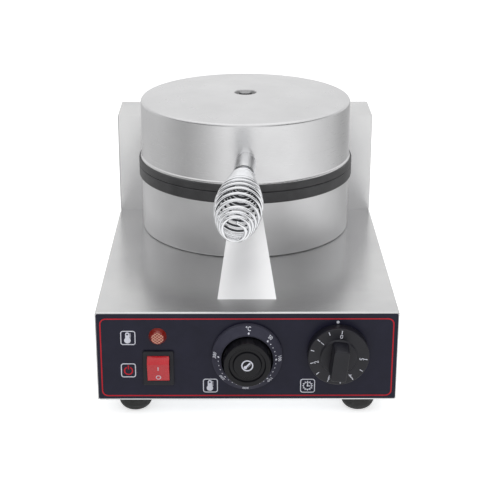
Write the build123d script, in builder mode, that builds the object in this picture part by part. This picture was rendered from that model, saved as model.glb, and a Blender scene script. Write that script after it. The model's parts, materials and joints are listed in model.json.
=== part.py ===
from build123d import *
import os
from math import asin, atan2, cos, degrees, pi, radians, sin, sqrt, tan

# Round waffle maker with a hinged lid, a spring handle and a control panel.
# Millimetres. +Z is up, the control panel faces -Y, +X is to the right of someone using it.
# The origin is on the surface the feet stand on, under the middle of the whole machine.

os.makedirs("parts", exist_ok=True)

# Base housing, a folded sheet-steel box that is open below
base_width = 270.0
base_depth = 374.0
base_height = 85.5
ground_gap = 21.0
sheet = 1.0
bend_radius = 1.8
corner_radius = 1.2
flange_width = 14.0

# Bottom plate under the housing, its vents and its screws
plate_margin = 1.5
vent_length = 44.0
vent_width = 3.6
vent_pitch = 9.0
vents_per_side = 9
vent_offset = 55.0
small_screw_radius = 1.9
small_head_radius = 3.6
small_head_height = 2.2
hole_clearance = 0.3
screw_crown = 0.6
screw_slot_span = 1.3
screw_slot_width = 0.25
screw_slot_depth = 0.45

# Rubber feet
foot_inset_x = 32.0
foot_inset_y = 29.0
foot_top_radius = 15.0
foot_bottom_radius = 8.6
foot_shoulder = 13.0
foot_bulge = 1.5
foot_recess_radius = 5.5
foot_recess_depth = 9.0

# Control panel plate on the housing's front
panel_margin = 1.0
panel_drop = 2.3
panel_thick = 0.8
panel_corner = 1.5

# Round pan: lower shell, two cast baking plates, upper shell
shell_radius = 106.8
shell_sheet = 1.0
lower_shell_height = 56.45
lower_rim_height = 11.35
upper_rim_height = 7.65
lid_shell_height = 59.65
lid_crown = 5.0
lid_crown_fullness = 0.75
lid_edge_radius = 3.0
lid_bead = 1.3
lid_bead_height = 2.6
lid_bead_fullness = 0.85
shell_floor_radius = 2.0
rim_overhang = 2.9
rim_edge_radius = 1.4
plate_side_gap = 1.3
lower_plate_drop = 9.2
upper_plate_rise = 9.5
lower_cavity_depth = 10.0
upper_cavity_depth = 9.5
cavity_wall = 6.5
peg_pitch = 17.0
peg_base = 11.0
peg_height = 7.2
peg_taper = 14.0
peg_margin = 4.0

# Lid bolt in its dimple
dimple_radius = 11.6
dimple_slope = 3.0
dimple_depth = 6.0
lid_bolt_radius = 3.0
lid_bolt_flats = 11.0
lid_bolt_head = 6.0
lid_boss_radius = 11.0
lid_thread_depth = 9.0

# Tubular heating elements and the discs that clamp them
heater_inset = 34.8
heater_tube_radius = 3.7
heater_gap_angle = 44.0
heater_bend_radius = 9.0
seat_gap = 0.25
clamp_disc_inset = 16.8
clamp_disc_thick = 1.5
pan_bolt_circle = 48.0
pan_bolt_radius = 3.0
pan_bolt_flats = 10.0
pan_bolt_head = 4.0
pan_bolt_depth = 6.5
pan_bolts = 3
spacer_radius = 6.0
leg_hole_radius = 7.6
lower_leg_reach = 14.0
upper_leg_height = 24.0

# Sloping duct in front of the pan
duct_setback = 30.0
duct_foot_half = 26.7
duct_top_half = 14.0
duct_height = 55.0
duct_hole_setback = 80.0
duct_hole_radius = 8.0

# Towers that carry the hinge
tower_width = 30.0
tower_depth = 92.4
tower_height = 104.0
tower_top_depth = 60.7
tower_shoulder_height = 86.0
tower_bend = 1.2
tower_lead_hole = 6.0
tower_lead_inset = 74.0

# Hinge
hinge_inset = 13.0
hinge_to_pan = 14.2
hinge_height = 75.0
shaft_radius = 6.0
shaft_bore_radius = 3.4
running_gap = 0.05
bush_radius = 8.0
bush_flange_radius = 11.0
bush_flange_thick = 2.0
bearing_plate_thick = 5.0
bearing_plate_depth = 40.0
bearing_crest = 17.0
bearing_foot_width = 20.0
bearing_foot_thick = 4.0
bearing_screw_pitch = 22.0
bush_overhang = 0.6
lever_thick = 5.0
lever_length = 22.0
lever_width = 8.0
lid_travel = 100.0
stop_pin_radius = 4.0
stop_pin_reach = 17.0
stop_gap = 0.3
clip_thick = 1.2
clip_radius = 8.5
shaft_end = 1.5
arm_spacing = 68.0
arm_thick = 5.0
arm_eye_radius = 10.5
arm_pad_thick = 3.0
arm_pad_height = 30.0
arm_pad_rise = 4.0
arm_pad_angle = 16.0
arm_screw_turn = 5.12
arm_screw_radius = 2.4
arm_screw_head = 4.4

# Spring handle
handle_rise = 25.35
handle_slope = 9.4
handle_toe = 4.5
ferrule_length = 33.0
ferrule_radius = 10.3
ferrule_root_radius = 5.2
ferrule_dome = 10.0
ferrule_shoulder_radius = 8.7
ferrule_shoulder = 3.4
spigot_radius = 7.2
spigot_length = 20.0
spigot_chamfer = 1.0
handle_bolt_radius = 4.0
handle_bolt_depth = 18.0
handle_bolt_head = 5.0
handle_bolt_flats = 13.0
wire = 3.0
wire_root_radius = 9.3
spring_neck_radius = 9.8
spring_belly_radius = 20.75
spring_tip_radius = 8.35
spring_start = 42.0
spring_flare = 28.0
spring_belly = 97.1
spring_end = 139.8
spring_turns = 15
spring_neck_pitch = 4.58
spring_belly_pitch = 9.12
spring_tip_pitch = 4.42
spring_open_turn = 5.64
spring_close_turn = 12.18
spring_tip_power = 0.64
spring_lead_in = 60.0

# Thermostat: fixed scale ring, turning knob, body with a capillary sensor
thermostat_x = 0.0
thermostat_drop = 41.4
ring_radius = 31.5
ring_hole_radius = 23.2
ring_lip = 1.2
ring_edge = 4.5
ring_depth = 10.5
knob_gap = 0.8
thermostat_knob_radius = 22.4
thermostat_front_radius = 20.6
thermostat_reach = 22.0
knob_front_edge = 0.8
knob_lobes = 8
lobe_cut_radius = 10.0
lobe_cut_depth = 1.9
knob_boss_radius = 12.0
knob_groove_width = 4.5
knob_groove_depth = 1.6
knob_groove_taper = 30.0
knob_wall = 2.0
knob_hub_radius = 6.5
knob_cavity_depth = 12.0
spindle_radius = 3.0
spindle_depth = 14.0
spindle_grip = 9.0
stem_radius = 5.0
stem_nut_flats = 14.0
stem_nut_thick = 2.4
thermostat_body_width = 42.0
thermostat_body_height = 36.0
thermostat_body_depth = 28.0
thermostat_body_corner = 3.0
capillary_radius = 1.2
bulb_radius = 3.0
bulb_length = 70.0
bulb_setback = 5.0
bulb_edge = 1.8
capillary_bend = 9.0
capillary_rise = 12.0

# Timer
timer_inset = 54.0
timer_rest_turn = 6.0
timer_drop = 38.0
timer_dial_radius = 27.2
timer_dial_depth = 10.4
timer_dial_edge = 1.0
timer_hub_radius = 17.0
timer_hub_height = 1.4
timer_hub_taper = 45.0
timer_grip_width = 15.0
timer_grip_length = 30.4
timer_grip_height = 20.5
timer_grip_taper = 2.0
timer_grip_corner = 3.0
timer_grip_edge = 1.0
timer_body_radius = 26.0
timer_body_depth = 32.0
timer_body_edge = 2.0

# Rocker switch
switch_inset = 55.6
switch_drop = 53.2
bezel_width = 27.8
bezel_height = 33.4
bezel_thick = 2.2
bezel_corner = 1.5
bezel_edge = 0.9
switch_body_width = 22.8
switch_body_height = 30.4
switch_body_depth = 22.0
paddle_width = 19.6
paddle_radius = 13.6
paddle_gap = 0.4
pivot_depth = 3.5
pivot_radius = 1.5
pivot_length = 0.8
paddle_rest_top = 27.5
paddle_rest_bottom = -59.5
paddle_back = 2.0
blade_width = 6.3
blade_thick = 0.8
blade_length = 10.0
blade_pitch_x = 11.0
blade_pitch_z = 13.0

# Indicator lamp
lamp_inset = 55.4
lamp_drop = 22.6
lens_radius = 8.0
lens_face_radius = 5.6
lens_depth = 4.6
lens_edge = 1.2
lens_stem_radius = 6.2
lens_stem_length = 8.0
lamp_holder_radius = 8.6
lamp_holder_depth = 24.0

# Mains entry at the back
gland_inset = 65.0
gland_height = 32.0
gland_reach = 22.0
gland_flats = 22.0
gland_hex_thick = 6.0
gland_dome_radius = 10.0
gland_dome_edge = 3.5
gland_stem_radius = 8.0
gland_stem_length = 12.0
gland_bore_radius = 4.2
locknut_flats = 22.0
locknut_thick = 4.0
terminal_width = 58.0
terminal_depth = 22.0
terminal_height = 20.0
terminal_poles = 5
terminal_rear_gap = 52.0
terminal_inset = 73.0
earth_inset = 115.0
earth_stud_radius = 2.5
earth_stud_length = 14.0
earth_nut_flats = 8.0
earth_nut_thick = 4.0

# Heights of the stack, from the surface up
z_base = ground_gap
z_deck = z_base + base_height
z_lower_rim = z_deck + lower_shell_height
z_parting = z_lower_rim + lower_rim_height
z_lid_rim = z_parting + upper_rim_height
z_lid_edge = z_lid_rim + lid_shell_height
z_crown = z_lid_edge + lid_crown
z_hinge = z_deck + hinge_height

# Depths, from the front of the housing back
front_reach = panel_thick + knob_gap + timer_dial_depth + timer_grip_height
y_front = (front_reach - base_depth - gland_reach) / 2
y_rear = y_front + base_depth
y_hinge = y_rear - hinge_inset
y_pan = y_hinge - hinge_to_pan - shell_radius
y_tower = y_rear - tower_depth
y_terminal = y_rear - terminal_rear_gap

# Places across the width
panel_width = base_width - 2 * panel_margin
panel_height = base_height - panel_drop
timer_x = base_width / 2 - timer_inset
switch_x = switch_inset - base_width / 2
lamp_x = lamp_inset - base_width / 2
gland_x = gland_inset - base_width / 2
earth_x = earth_inset - base_width / 2
terminal_x = terminal_inset - base_width / 2

# Shared radii and planes
plate_body_radius = shell_radius - shell_sheet - plate_side_gap
rim_radius = shell_radius + rim_overhang
cavity_radius = plate_body_radius - cavity_wall
heater_ring_radius = shell_radius - heater_inset
clamp_disc_radius = shell_radius - clamp_disc_inset
front = Plane(origin=(0, y_front, z_deck), x_dir=(1, 0, 0), z_dir=(0, -1, 0))
rear = Plane(origin=(0, y_rear, z_base), x_dir=(-1, 0, 0), z_dir=(0, 1, 0))
pan_section = Plane(origin=(0, y_pan, 0), x_dir=(1, 0, 0), z_dir=(0, -1, 0))
pan_axis = Axis((0, y_pan, 0), (0, 0, 1))
side_section = Plane(origin=(0, 0, 0), x_dir=(0, 1, 0), z_dir=(1, 0, 0))


def pan_plane(height):
    """A level plane on the pan's axis."""
    return Plane(origin=(0, y_pan, height), x_dir=(1, 0, 0), z_dir=(0, 0, 1))


def wall_plane(angle, height, radius):
    """A plane on a round wall at the pan's rear, its normal pointing outwards."""
    turn = radians(angle)
    out = Vector(sin(turn), cos(turn), 0)
    spot = Vector(0, y_pan, height) + out * radius
    return Plane(origin=spot, x_dir=(-cos(turn), sin(turn), 0), z_dir=out)


def hex_radius(flats):
    """The corner radius of a hexagon of this width across flats."""
    return flats / 2 / cos(pi / 6)


def bolt(plane, shank_radius, shank_length, flats, head_height):
    """A hexagon bolt: its shank runs up the plane's normal, its head lies below."""
    with BuildPart() as made:
        with BuildSketch(plane):
            Circle(shank_radius)
        extrude(amount=shank_length)
        with BuildSketch(plane):
            RegularPolygon(hex_radius(flats), 6)
        extrude(amount=-head_height)
    return made.part


def pan_head_screw(plane, shank_radius, shank_length, head_radius, head_height):
    """A round-headed screw: its shank runs up the plane's normal, its head lies below."""
    with BuildPart() as made:
        with BuildSketch(plane):
            Circle(shank_radius)
        extrude(amount=shank_length)
        with BuildSketch(plane):
            Circle(head_radius)
        extrude(amount=-head_height)
        crown = made.edges().filter_by(GeomType.CIRCLE).sort_by(Axis(plane.origin, plane.z_dir))[0]
        fillet(crown, head_height * screw_crown)
        with BuildSketch(plane.offset(-head_height)):
            Rectangle(head_radius * screw_slot_span, head_radius * screw_slot_width)
            Rectangle(head_radius * screw_slot_width, head_radius * screw_slot_span)
        extrude(amount=head_height * screw_slot_depth, mode=Mode.SUBTRACT)
    return made.part


# Places that several pieces share
foot_x = base_width / 2 - foot_inset_x
foot_front_y = y_front + foot_inset_y
foot_rear_y = y_rear - foot_inset_y
foot_spots = {
    "foot_front_left": (-foot_x, foot_front_y),
    "foot_front_right": (foot_x, foot_front_y),
    "foot_rear_left": (-foot_x, foot_rear_y),
    "foot_rear_right": (foot_x, foot_rear_y),
}
bottom_screw_x = base_width / 2 - flange_width / 2 - sheet
bottom_screw_inset = flange_width / 2 + sheet
bottom_screw_ys = (y_front + bottom_screw_inset, (y_front + y_rear) / 2, y_rear - bottom_screw_inset)
bottom_screw_spots = [(x, y) for x in (-bottom_screw_x, bottom_screw_x) for y in bottom_screw_ys]
thermostat_spot = (thermostat_x, -thermostat_drop)
timer_spot = (timer_x, -timer_drop)
switch_spot = (switch_x, -switch_drop)
lamp_spot = (lamp_x, -lamp_drop)
bolt_angles = [90 + 360 / pan_bolts * n for n in range(pan_bolts)]
pan_bolt_spots = [
    (pan_bolt_circle * cos(radians(a)), pan_bolt_circle * sin(radians(a))) for a in bolt_angles
]
leg_angle = radians(heater_gap_angle / 2)
leg_out = heater_bend_radius
leg_spots = [
    (
        side * (heater_ring_radius * sin(leg_angle) - leg_out * cos(leg_angle)),
        -heater_ring_radius * cos(leg_angle) - leg_out * sin(leg_angle),
    )
    for side in (-1, 1)
]

z_arm_pad = z_lid_rim + arm_pad_rise
arm_angles = [
    side * degrees(asin(arm_spacing / (shell_radius + arm_pad_thick))) + turn * arm_screw_turn
    for side in (-1, 1)
    for turn in (-1, 1)
]
tower_middle = base_width / 2 - tower_width / 2
lead_y = y_rear - tower_lead_inset
bearing_inner = base_width / 2 - tower_width + sheet
bearing_foot_x = bearing_inner + bearing_plate_thick + (bearing_foot_width - bearing_plate_thick) / 2
bearing_middle_y = y_hinge + arm_eye_radius - bearing_plate_depth / 2
bearing_screw_spots = [
    (side * bearing_foot_x, bearing_middle_y + end * bearing_screw_pitch / 2)
    for side in (-1, 1)
    for end in (-1, 1)
]

# Base housing: five walls, folded edges and a flange turned in below
with BuildPart() as base_housing:
    with BuildSketch(Plane.XY.offset(z_base)):
        with Locations((0, (y_front + y_rear) / 2)):
            Rectangle(base_width, base_depth)
    extrude(amount=base_height)
    fillet(base_housing.edges().filter_by(Axis.Z), corner_radius)
    fillet(base_housing.faces().sort_by(Axis.Z)[-1].edges(), bend_radius)
    offset(amount=-sheet, openings=base_housing.faces().sort_by(Axis.Z)[0])
    with BuildSketch(Plane.XY.offset(z_base)):
        with Locations((0, (y_front + y_rear) / 2)):
            Rectangle(base_width - sheet, base_depth - sheet)
            Rectangle(base_width - 2 * flange_width, base_depth - 2 * flange_width, mode=Mode.SUBTRACT)
    extrude(amount=sheet)
    with BuildSketch(Plane.XY.offset(z_base)):
        with Locations(*bottom_screw_spots):
            Circle(small_screw_radius + hole_clearance)
    extrude(amount=sheet, mode=Mode.SUBTRACT)
    with BuildSketch(front):
        with Locations(thermostat_spot, timer_spot):
            Circle(stem_radius + hole_clearance)
        with Locations(switch_spot):
            Rectangle(switch_body_width + hole_clearance, switch_body_height + hole_clearance)
        with Locations(lamp_spot):
            Circle(lens_stem_radius + hole_clearance)
    extrude(amount=-sheet * 2, mode=Mode.SUBTRACT)
    with BuildSketch(rear):
        with Locations((-gland_x, gland_height)):
            Circle(gland_stem_radius + hole_clearance)
        with Locations((-earth_x, gland_height)):
            Circle(earth_stud_radius + hole_clearance)
    extrude(amount=-sheet * 2, mode=Mode.SUBTRACT)
    with BuildSketch(pan_plane(z_deck)):
        with Locations(*pan_bolt_spots):
            Circle(pan_bolt_radius + hole_clearance)
        with Locations(*leg_spots):
            Circle(leg_hole_radius)
    extrude(amount=-sheet * 2, mode=Mode.SUBTRACT)
    with BuildSketch(Plane.XY.offset(z_deck)):
        with Locations((0, y_front + duct_hole_setback)):
            Circle(duct_hole_radius)
        with Locations((-tower_middle, lead_y), (tower_middle, lead_y)):
            Circle(tower_lead_hole)
        with Locations(*bearing_screw_spots):
            Circle(small_screw_radius + hole_clearance)
    extrude(amount=-sheet * 2, mode=Mode.SUBTRACT)
base_housing.part.label = "base_housing"
export_step(base_housing.part, "parts/base_housing.step")

# Bottom plate with two rows of vents
with BuildPart() as bottom_plate:
    with BuildSketch(Plane.XY.offset(z_base - sheet)):
        with Locations((0, (y_front + y_rear) / 2)):
            RectangleRounded(base_width - 2 * plate_margin, base_depth - 2 * plate_margin, corner_radius)
            with Locations((-vent_offset, 0), (vent_offset, 0)):
                with GridLocations(1, vent_pitch, 1, vents_per_side):
                    SlotOverall(vent_length, vent_width, mode=Mode.SUBTRACT)
        with Locations(*bottom_screw_spots, *foot_spots.values()):
            Circle(small_screw_radius + hole_clearance, mode=Mode.SUBTRACT)
    extrude(amount=sheet)
bottom_plate.part.label = "bottom_plate"
export_step(bottom_plate.part, "parts/bottom_plate.step")

bottom_screws = Compound(
    label="bottom_screws",
    children=[
        pan_head_screw(
            Plane(origin=(x, y, z_base - sheet)),
            small_screw_radius,
            4 * sheet,
            small_head_radius,
            small_head_height,
        )
        for x, y in bottom_screw_spots
    ],
)
export_step(bottom_screws, "parts/bottom_screws.step")

# Rubber feet: bowl-shaped, with a recess for the screw's head
foot_height = z_base - sheet
foot_hole = small_screw_radius + hole_clearance
foot_middle_radius = (foot_top_radius + foot_bottom_radius) / 2 + foot_bulge
for name, (x, y) in foot_spots.items():
    with BuildPart() as foot:
        with BuildSketch(Plane(origin=(x, y, 0), x_dir=(1, 0, 0), z_dir=(0, -1, 0))):
            with BuildLine():
                Line((foot_hole, foot_recess_depth), (foot_hole, foot_height))
                Line((foot_hole, foot_height), (foot_top_radius, foot_height))
                Line((foot_top_radius, foot_height), (foot_top_radius, foot_height - foot_shoulder))
                ThreePointArc(
                    (foot_top_radius, foot_height - foot_shoulder),
                    (foot_middle_radius, (foot_height - foot_shoulder) / 2),
                    (foot_bottom_radius, 0),
                )
                Line((foot_bottom_radius, 0), (foot_recess_radius, 0))
                Line((foot_recess_radius, 0), (foot_recess_radius, foot_recess_depth))
                Line((foot_recess_radius, foot_recess_depth), (foot_hole, foot_recess_depth))
            make_face()
        revolve(axis=Axis((x, y, 0), (0, 0, 1)))
    foot.part.label = name
    export_step(foot.part, f"parts/{name}.step")

foot_screws = Compound(
    label="foot_screws",
    children=[
        pan_head_screw(
            Plane(origin=(x, y, foot_recess_depth)),
            small_screw_radius,
            foot_height - foot_recess_depth + 4 * sheet,
            small_head_radius,
            small_head_height,
        )
        for x, y in foot_spots.values()
    ],
)
export_step(foot_screws, "parts/foot_screws.step")

# Control panel plate
with BuildPart() as control_panel:
    with BuildSketch(front):
        with Locations((0, -base_height / 2)):
            RectangleRounded(panel_width, panel_height, panel_corner)
        with Locations(thermostat_spot, timer_spot):
            Circle(stem_radius + hole_clearance, mode=Mode.SUBTRACT)
        with Locations(switch_spot):
            Rectangle(
                switch_body_width + hole_clearance, switch_body_height + hole_clearance, mode=Mode.SUBTRACT
            )
        with Locations(lamp_spot):
            Circle(lens_stem_radius + hole_clearance, mode=Mode.SUBTRACT)
    extrude(amount=panel_thick)
control_panel.part.label = "control_panel"
export_step(control_panel.part, "parts/control_panel.step")

# Height inside the pan where the element, its clamp disc and the sensor lie
z_lower_plate = z_lower_rim - lower_plate_drop
z_lower_heater = z_lower_plate - seat_gap - heater_tube_radius
z_lower_disc = z_lower_heater - heater_tube_radius - seat_gap - clamp_disc_thick
z_bulb = z_lower_plate - seat_gap - bulb_radius
z_upper_plate = z_lid_rim + upper_plate_rise
z_upper_heater = z_upper_plate + seat_gap + heater_tube_radius
z_upper_disc = z_upper_heater + heater_tube_radius + seat_gap

# Lower pan shell: an open cup that stands on the deck
with BuildPart() as lower_pan_shell:
    with BuildSketch(pan_section):
        with BuildLine():
            Polyline(
                (0, z_deck),
                (shell_radius, z_deck),
                (shell_radius, z_lower_rim),
                (0, z_lower_rim),
                close=True,
            )
        make_face()
    revolve(axis=pan_axis)
    fillet(lower_pan_shell.faces().sort_by(Axis.Z)[0].edges(), shell_floor_radius)
    offset(amount=-shell_sheet, openings=lower_pan_shell.faces().sort_by(Axis.Z)[-1])
    with BuildSketch(pan_plane(z_deck)):
        with Locations(*pan_bolt_spots):
            Circle(pan_bolt_radius + hole_clearance)
        with Locations(*leg_spots):
            Circle(leg_hole_radius)
    extrude(amount=2 * shell_sheet, mode=Mode.SUBTRACT)
    with BuildSketch(Plane(origin=(0, y_pan, z_bulb), x_dir=(1, 0, 0), z_dir=(0, -1, 0))):
        Circle(bulb_radius + hole_clearance)
    extrude(amount=shell_radius + sheet, mode=Mode.SUBTRACT)
lower_pan_shell.part.label = "lower_pan_shell"
export_step(lower_pan_shell.part, "parts/lower_pan_shell.step")

peg_grid = int(cavity_radius / peg_pitch) * 2 + 1
peg_limit = cavity_radius - peg_margin - peg_base / sqrt(2)
peg_spots = [
    (place.position.X, place.position.Y)
    for place in GridLocations(peg_pitch, peg_pitch, peg_grid, peg_grid)
    if place.position.length < peg_limit
]

# Lower baking plate: cast, with a grid of pegs standing in its cavity
with BuildPart() as lower_plate:
    with BuildSketch(pan_plane(z_lower_plate)):
        Circle(plate_body_radius)
    extrude(amount=lower_plate_drop)
    with BuildSketch(pan_plane(z_lower_rim)):
        Circle(rim_radius)
    extrude(amount=lower_rim_height)
    rim_edges = lower_plate.edges().filter_by(GeomType.CIRCLE).sort_by(SortBy.RADIUS)[-2:]
    fillet(rim_edges, rim_edge_radius)
    with BuildSketch(pan_plane(z_parting)):
        Circle(cavity_radius)
    extrude(amount=-lower_cavity_depth, mode=Mode.SUBTRACT)
    with BuildSketch(pan_plane(z_lower_plate)):
        with Locations(*pan_bolt_spots):
            Circle(pan_bolt_radius)
    extrude(amount=pan_bolt_depth, mode=Mode.SUBTRACT)
    with BuildSketch(pan_plane(z_parting - lower_cavity_depth)):
        with Locations(*peg_spots):
            Rectangle(peg_base, peg_base)
    extrude(amount=peg_height, taper=peg_taper)
lower_plate.part.label = "lower_plate"
export_step(lower_plate.part, "parts/lower_plate.step")

# Upper baking plate: the same cavity upside down, with a boss for the lid bolt
with BuildPart() as upper_plate:
    with BuildSketch(pan_plane(z_parting)):
        Circle(rim_radius)
    extrude(amount=upper_rim_height)
    rim_edges = upper_plate.edges().filter_by(GeomType.CIRCLE).sort_by(SortBy.RADIUS)[-2:]
    fillet(rim_edges, rim_edge_radius)
    with BuildSketch(pan_plane(z_lid_rim)):
        Circle(plate_body_radius)
    extrude(amount=upper_plate_rise)
    with BuildSketch(pan_plane(z_upper_plate)):
        Circle(lid_boss_radius)
    extrude(amount=z_upper_disc - seat_gap - z_upper_plate)
    with BuildSketch(pan_plane(z_upper_disc - seat_gap)):
        Circle(lid_bolt_radius)
    extrude(amount=-lid_thread_depth, mode=Mode.SUBTRACT)
    with BuildSketch(pan_plane(z_parting)):
        Circle(cavity_radius)
    extrude(amount=upper_cavity_depth, mode=Mode.SUBTRACT)
    cavity_top = (0, y_pan, z_parting + upper_cavity_depth)
    with BuildSketch(Plane(origin=cavity_top, x_dir=(1, 0, 0), z_dir=(0, 0, -1))):
        with Locations(*peg_spots):
            Rectangle(peg_base, peg_base)
    extrude(amount=peg_height, taper=peg_taper)
upper_plate.part.label = "upper_plate"
export_step(upper_plate.part, "parts/upper_plate.step")


def heater(height, leg_end):
    """An open ring of tube whose two ends turn along Z to the height leg_end."""
    way = 1 if leg_end > height else -1
    start = (leg_spots[1][0], y_pan + leg_spots[1][1])
    finish = (leg_spots[0][0], y_pan + leg_spots[0][1])
    ring_end = [
        (side * heater_ring_radius * sin(leg_angle), y_pan - heater_ring_radius * cos(leg_angle), height)
        for side in (-1, 1)
    ]
    with BuildPart() as made:
        with BuildLine() as route:
            Line((*start, leg_end), (*start, height + way * heater_bend_radius))
            TangentArc((*start, height + way * heater_bend_radius), ring_end[1], tangent=(0, 0, -way))
            ThreePointArc(ring_end[1], (0, y_pan + heater_ring_radius, height), ring_end[0])
            TangentArc(
                ring_end[0],
                (*finish, height + way * heater_bend_radius),
                tangent=(cos(leg_angle), -sin(leg_angle), 0),
            )
            Line((*finish, height + way * heater_bend_radius), (*finish, leg_end))
        with BuildSketch(Plane(origin=(*start, leg_end), z_dir=(0, 0, -way))):
            Circle(heater_tube_radius)
        sweep(path=route.wire())
    return made.part


def clamp_disc(height):
    """A sheet disc that presses an element to its plate, holed for bolts and element legs."""
    with BuildPart() as made:
        with BuildSketch(pan_plane(height)):
            Circle(clamp_disc_radius)
            with Locations(*pan_bolt_spots, (0, 0)):
                Circle(pan_bolt_radius + hole_clearance, mode=Mode.SUBTRACT)
            with Locations(*leg_spots):
                Circle(leg_hole_radius, mode=Mode.SUBTRACT)
        extrude(amount=clamp_disc_thick)
    return made.part


lower_heater = heater(z_lower_heater, z_deck - lower_leg_reach)
lower_heater.label = "lower_heater"
export_step(lower_heater, "parts/lower_heater.step")
upper_heater = heater(z_upper_heater, z_upper_heater + upper_leg_height)
upper_heater.label = "upper_heater"
export_step(upper_heater, "parts/upper_heater.step")
lower_clamp_disc = clamp_disc(z_lower_disc)
lower_clamp_disc.label = "lower_clamp_disc"
export_step(lower_clamp_disc, "parts/lower_clamp_disc.step")
upper_clamp_disc = clamp_disc(z_upper_disc)
upper_clamp_disc.label = "upper_clamp_disc"
export_step(upper_clamp_disc, "parts/upper_clamp_disc.step")

# Bolts that hold the lower plate down, and the spacer tubes round them
pan_bolt_group = Compound(
    label="pan_bolts",
    children=[
        bolt(
            Plane(origin=(x, y_pan + y, z_deck - sheet)),
            pan_bolt_radius,
            z_lower_plate + pan_bolt_depth - z_deck + sheet,
            pan_bolt_flats,
            pan_bolt_head,
        )
        for x, y in pan_bolt_spots
    ],
)
export_step(pan_bolt_group, "parts/pan_bolts.step")
with BuildPart() as pan_spacers:
    with BuildSketch(pan_plane(z_deck + shell_sheet)):
        with Locations(*pan_bolt_spots):
            Circle(spacer_radius)
            Circle(pan_bolt_radius + hole_clearance, mode=Mode.SUBTRACT)
    extrude(amount=z_lower_disc - z_deck - shell_sheet)
pan_spacers.part.label = "pan_spacers"
export_step(pan_spacers.part, "parts/pan_spacers.step")

# Handle frame: its origin is on the lid's front wall, Z runs out along the handle
slope = radians(handle_slope)
toe = radians(handle_toe)
handle_way = Vector(-sin(toe) * cos(slope), -cos(toe) * cos(slope), -sin(slope))
z_handle = z_lid_rim + handle_rise
handle = Plane(
    origin=(0, y_pan - shell_radius, z_handle), x_dir=(cos(toe), -sin(toe), 0), z_dir=handle_way
)

# Upper pan shell: crowned top with a dimple for the bolt, and a bead at its lower edge
z_dimple = z_crown - dimple_depth
crown_edge = shell_radius - lid_edge_radius
crown_mid = crown_edge / 2
crown_mid_rise = lid_crown * lid_crown_fullness
with BuildPart() as upper_pan_shell:
    with BuildSketch(pan_section):
        with BuildLine():
            Line((0, z_lid_rim), (0, z_dimple))
            Line((0, z_dimple), (dimple_radius - dimple_slope, z_dimple))
            Line((dimple_radius - dimple_slope, z_dimple), (dimple_radius, z_crown))
            ThreePointArc(
                (dimple_radius, z_crown), (crown_mid, z_lid_edge + crown_mid_rise), (crown_edge, z_lid_edge)
            )
            CenterArc((crown_edge, z_lid_edge - lid_edge_radius), lid_edge_radius, 90, -90)
            Line((shell_radius, z_lid_edge - lid_edge_radius), (shell_radius, z_lid_rim))
            Line((shell_radius, z_lid_rim), (0, z_lid_rim))
        make_face()
    revolve(axis=pan_axis)
    offset(amount=-shell_sheet, openings=upper_pan_shell.faces().sort_by(Axis.Z)[0])
    with BuildSketch(pan_section):
        with BuildLine():
            bead_inner = shell_radius - shell_sheet
            Line((bead_inner, z_lid_rim), (shell_radius + lid_bead, z_lid_rim))
            ThreePointArc(
                (shell_radius + lid_bead, z_lid_rim),
                (shell_radius + lid_bead * lid_bead_fullness, z_lid_rim + lid_bead_height / 2),
                (shell_radius, z_lid_rim + lid_bead_height),
            )
            Line((shell_radius, z_lid_rim + lid_bead_height), (bead_inner, z_lid_rim + lid_bead_height))
            Line((bead_inner, z_lid_rim + lid_bead_height), (bead_inner, z_lid_rim))
        make_face()
    revolve(axis=pan_axis)
    with BuildSketch(pan_plane(z_crown)):
        Circle(lid_bolt_radius + hole_clearance)
    extrude(amount=-dimple_depth - 2 * shell_sheet, mode=Mode.SUBTRACT)
    with BuildSketch(handle):
        Circle(handle_bolt_radius + hole_clearance)
    extrude(amount=-4 * shell_sheet, both=True, mode=Mode.SUBTRACT)
    for angle in arm_angles:
        with BuildSketch(wall_plane(angle, z_arm_pad + arm_pad_height / 2, shell_radius)):
            Circle(arm_screw_radius + hole_clearance)
        extrude(amount=-3 * shell_sheet, both=True, mode=Mode.SUBTRACT)
upper_pan_shell.part.label = "upper_pan_shell"
export_step(upper_pan_shell.part, "parts/upper_pan_shell.step")

# Lid bolt: hexagon head in the dimple, shank down into the upper plate's boss
lid_bolt = bolt(
    Plane(origin=(0, y_pan, z_dimple), x_dir=(1, 0, 0), z_dir=(0, 0, -1)),
    lid_bolt_radius,
    z_dimple - z_upper_disc + seat_gap + lid_thread_depth,
    lid_bolt_flats,
    lid_bolt_head,
)
lid_bolt.label = "lid_bolt"
export_step(lid_bolt, "parts/lid_bolt.step")

# Nut that holds the upper disc down round the lid bolt
with BuildPart() as disc_nut:
    with BuildSketch(pan_plane(z_upper_disc + clamp_disc_thick)):
        RegularPolygon(hex_radius(lid_bolt_flats), 6)
        Circle(lid_bolt_radius, mode=Mode.SUBTRACT)
    extrude(amount=lid_bolt_head)
disc_nut.part.label = "disc_nut"
export_step(disc_nut.part, "parts/disc_nut.step")


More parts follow.
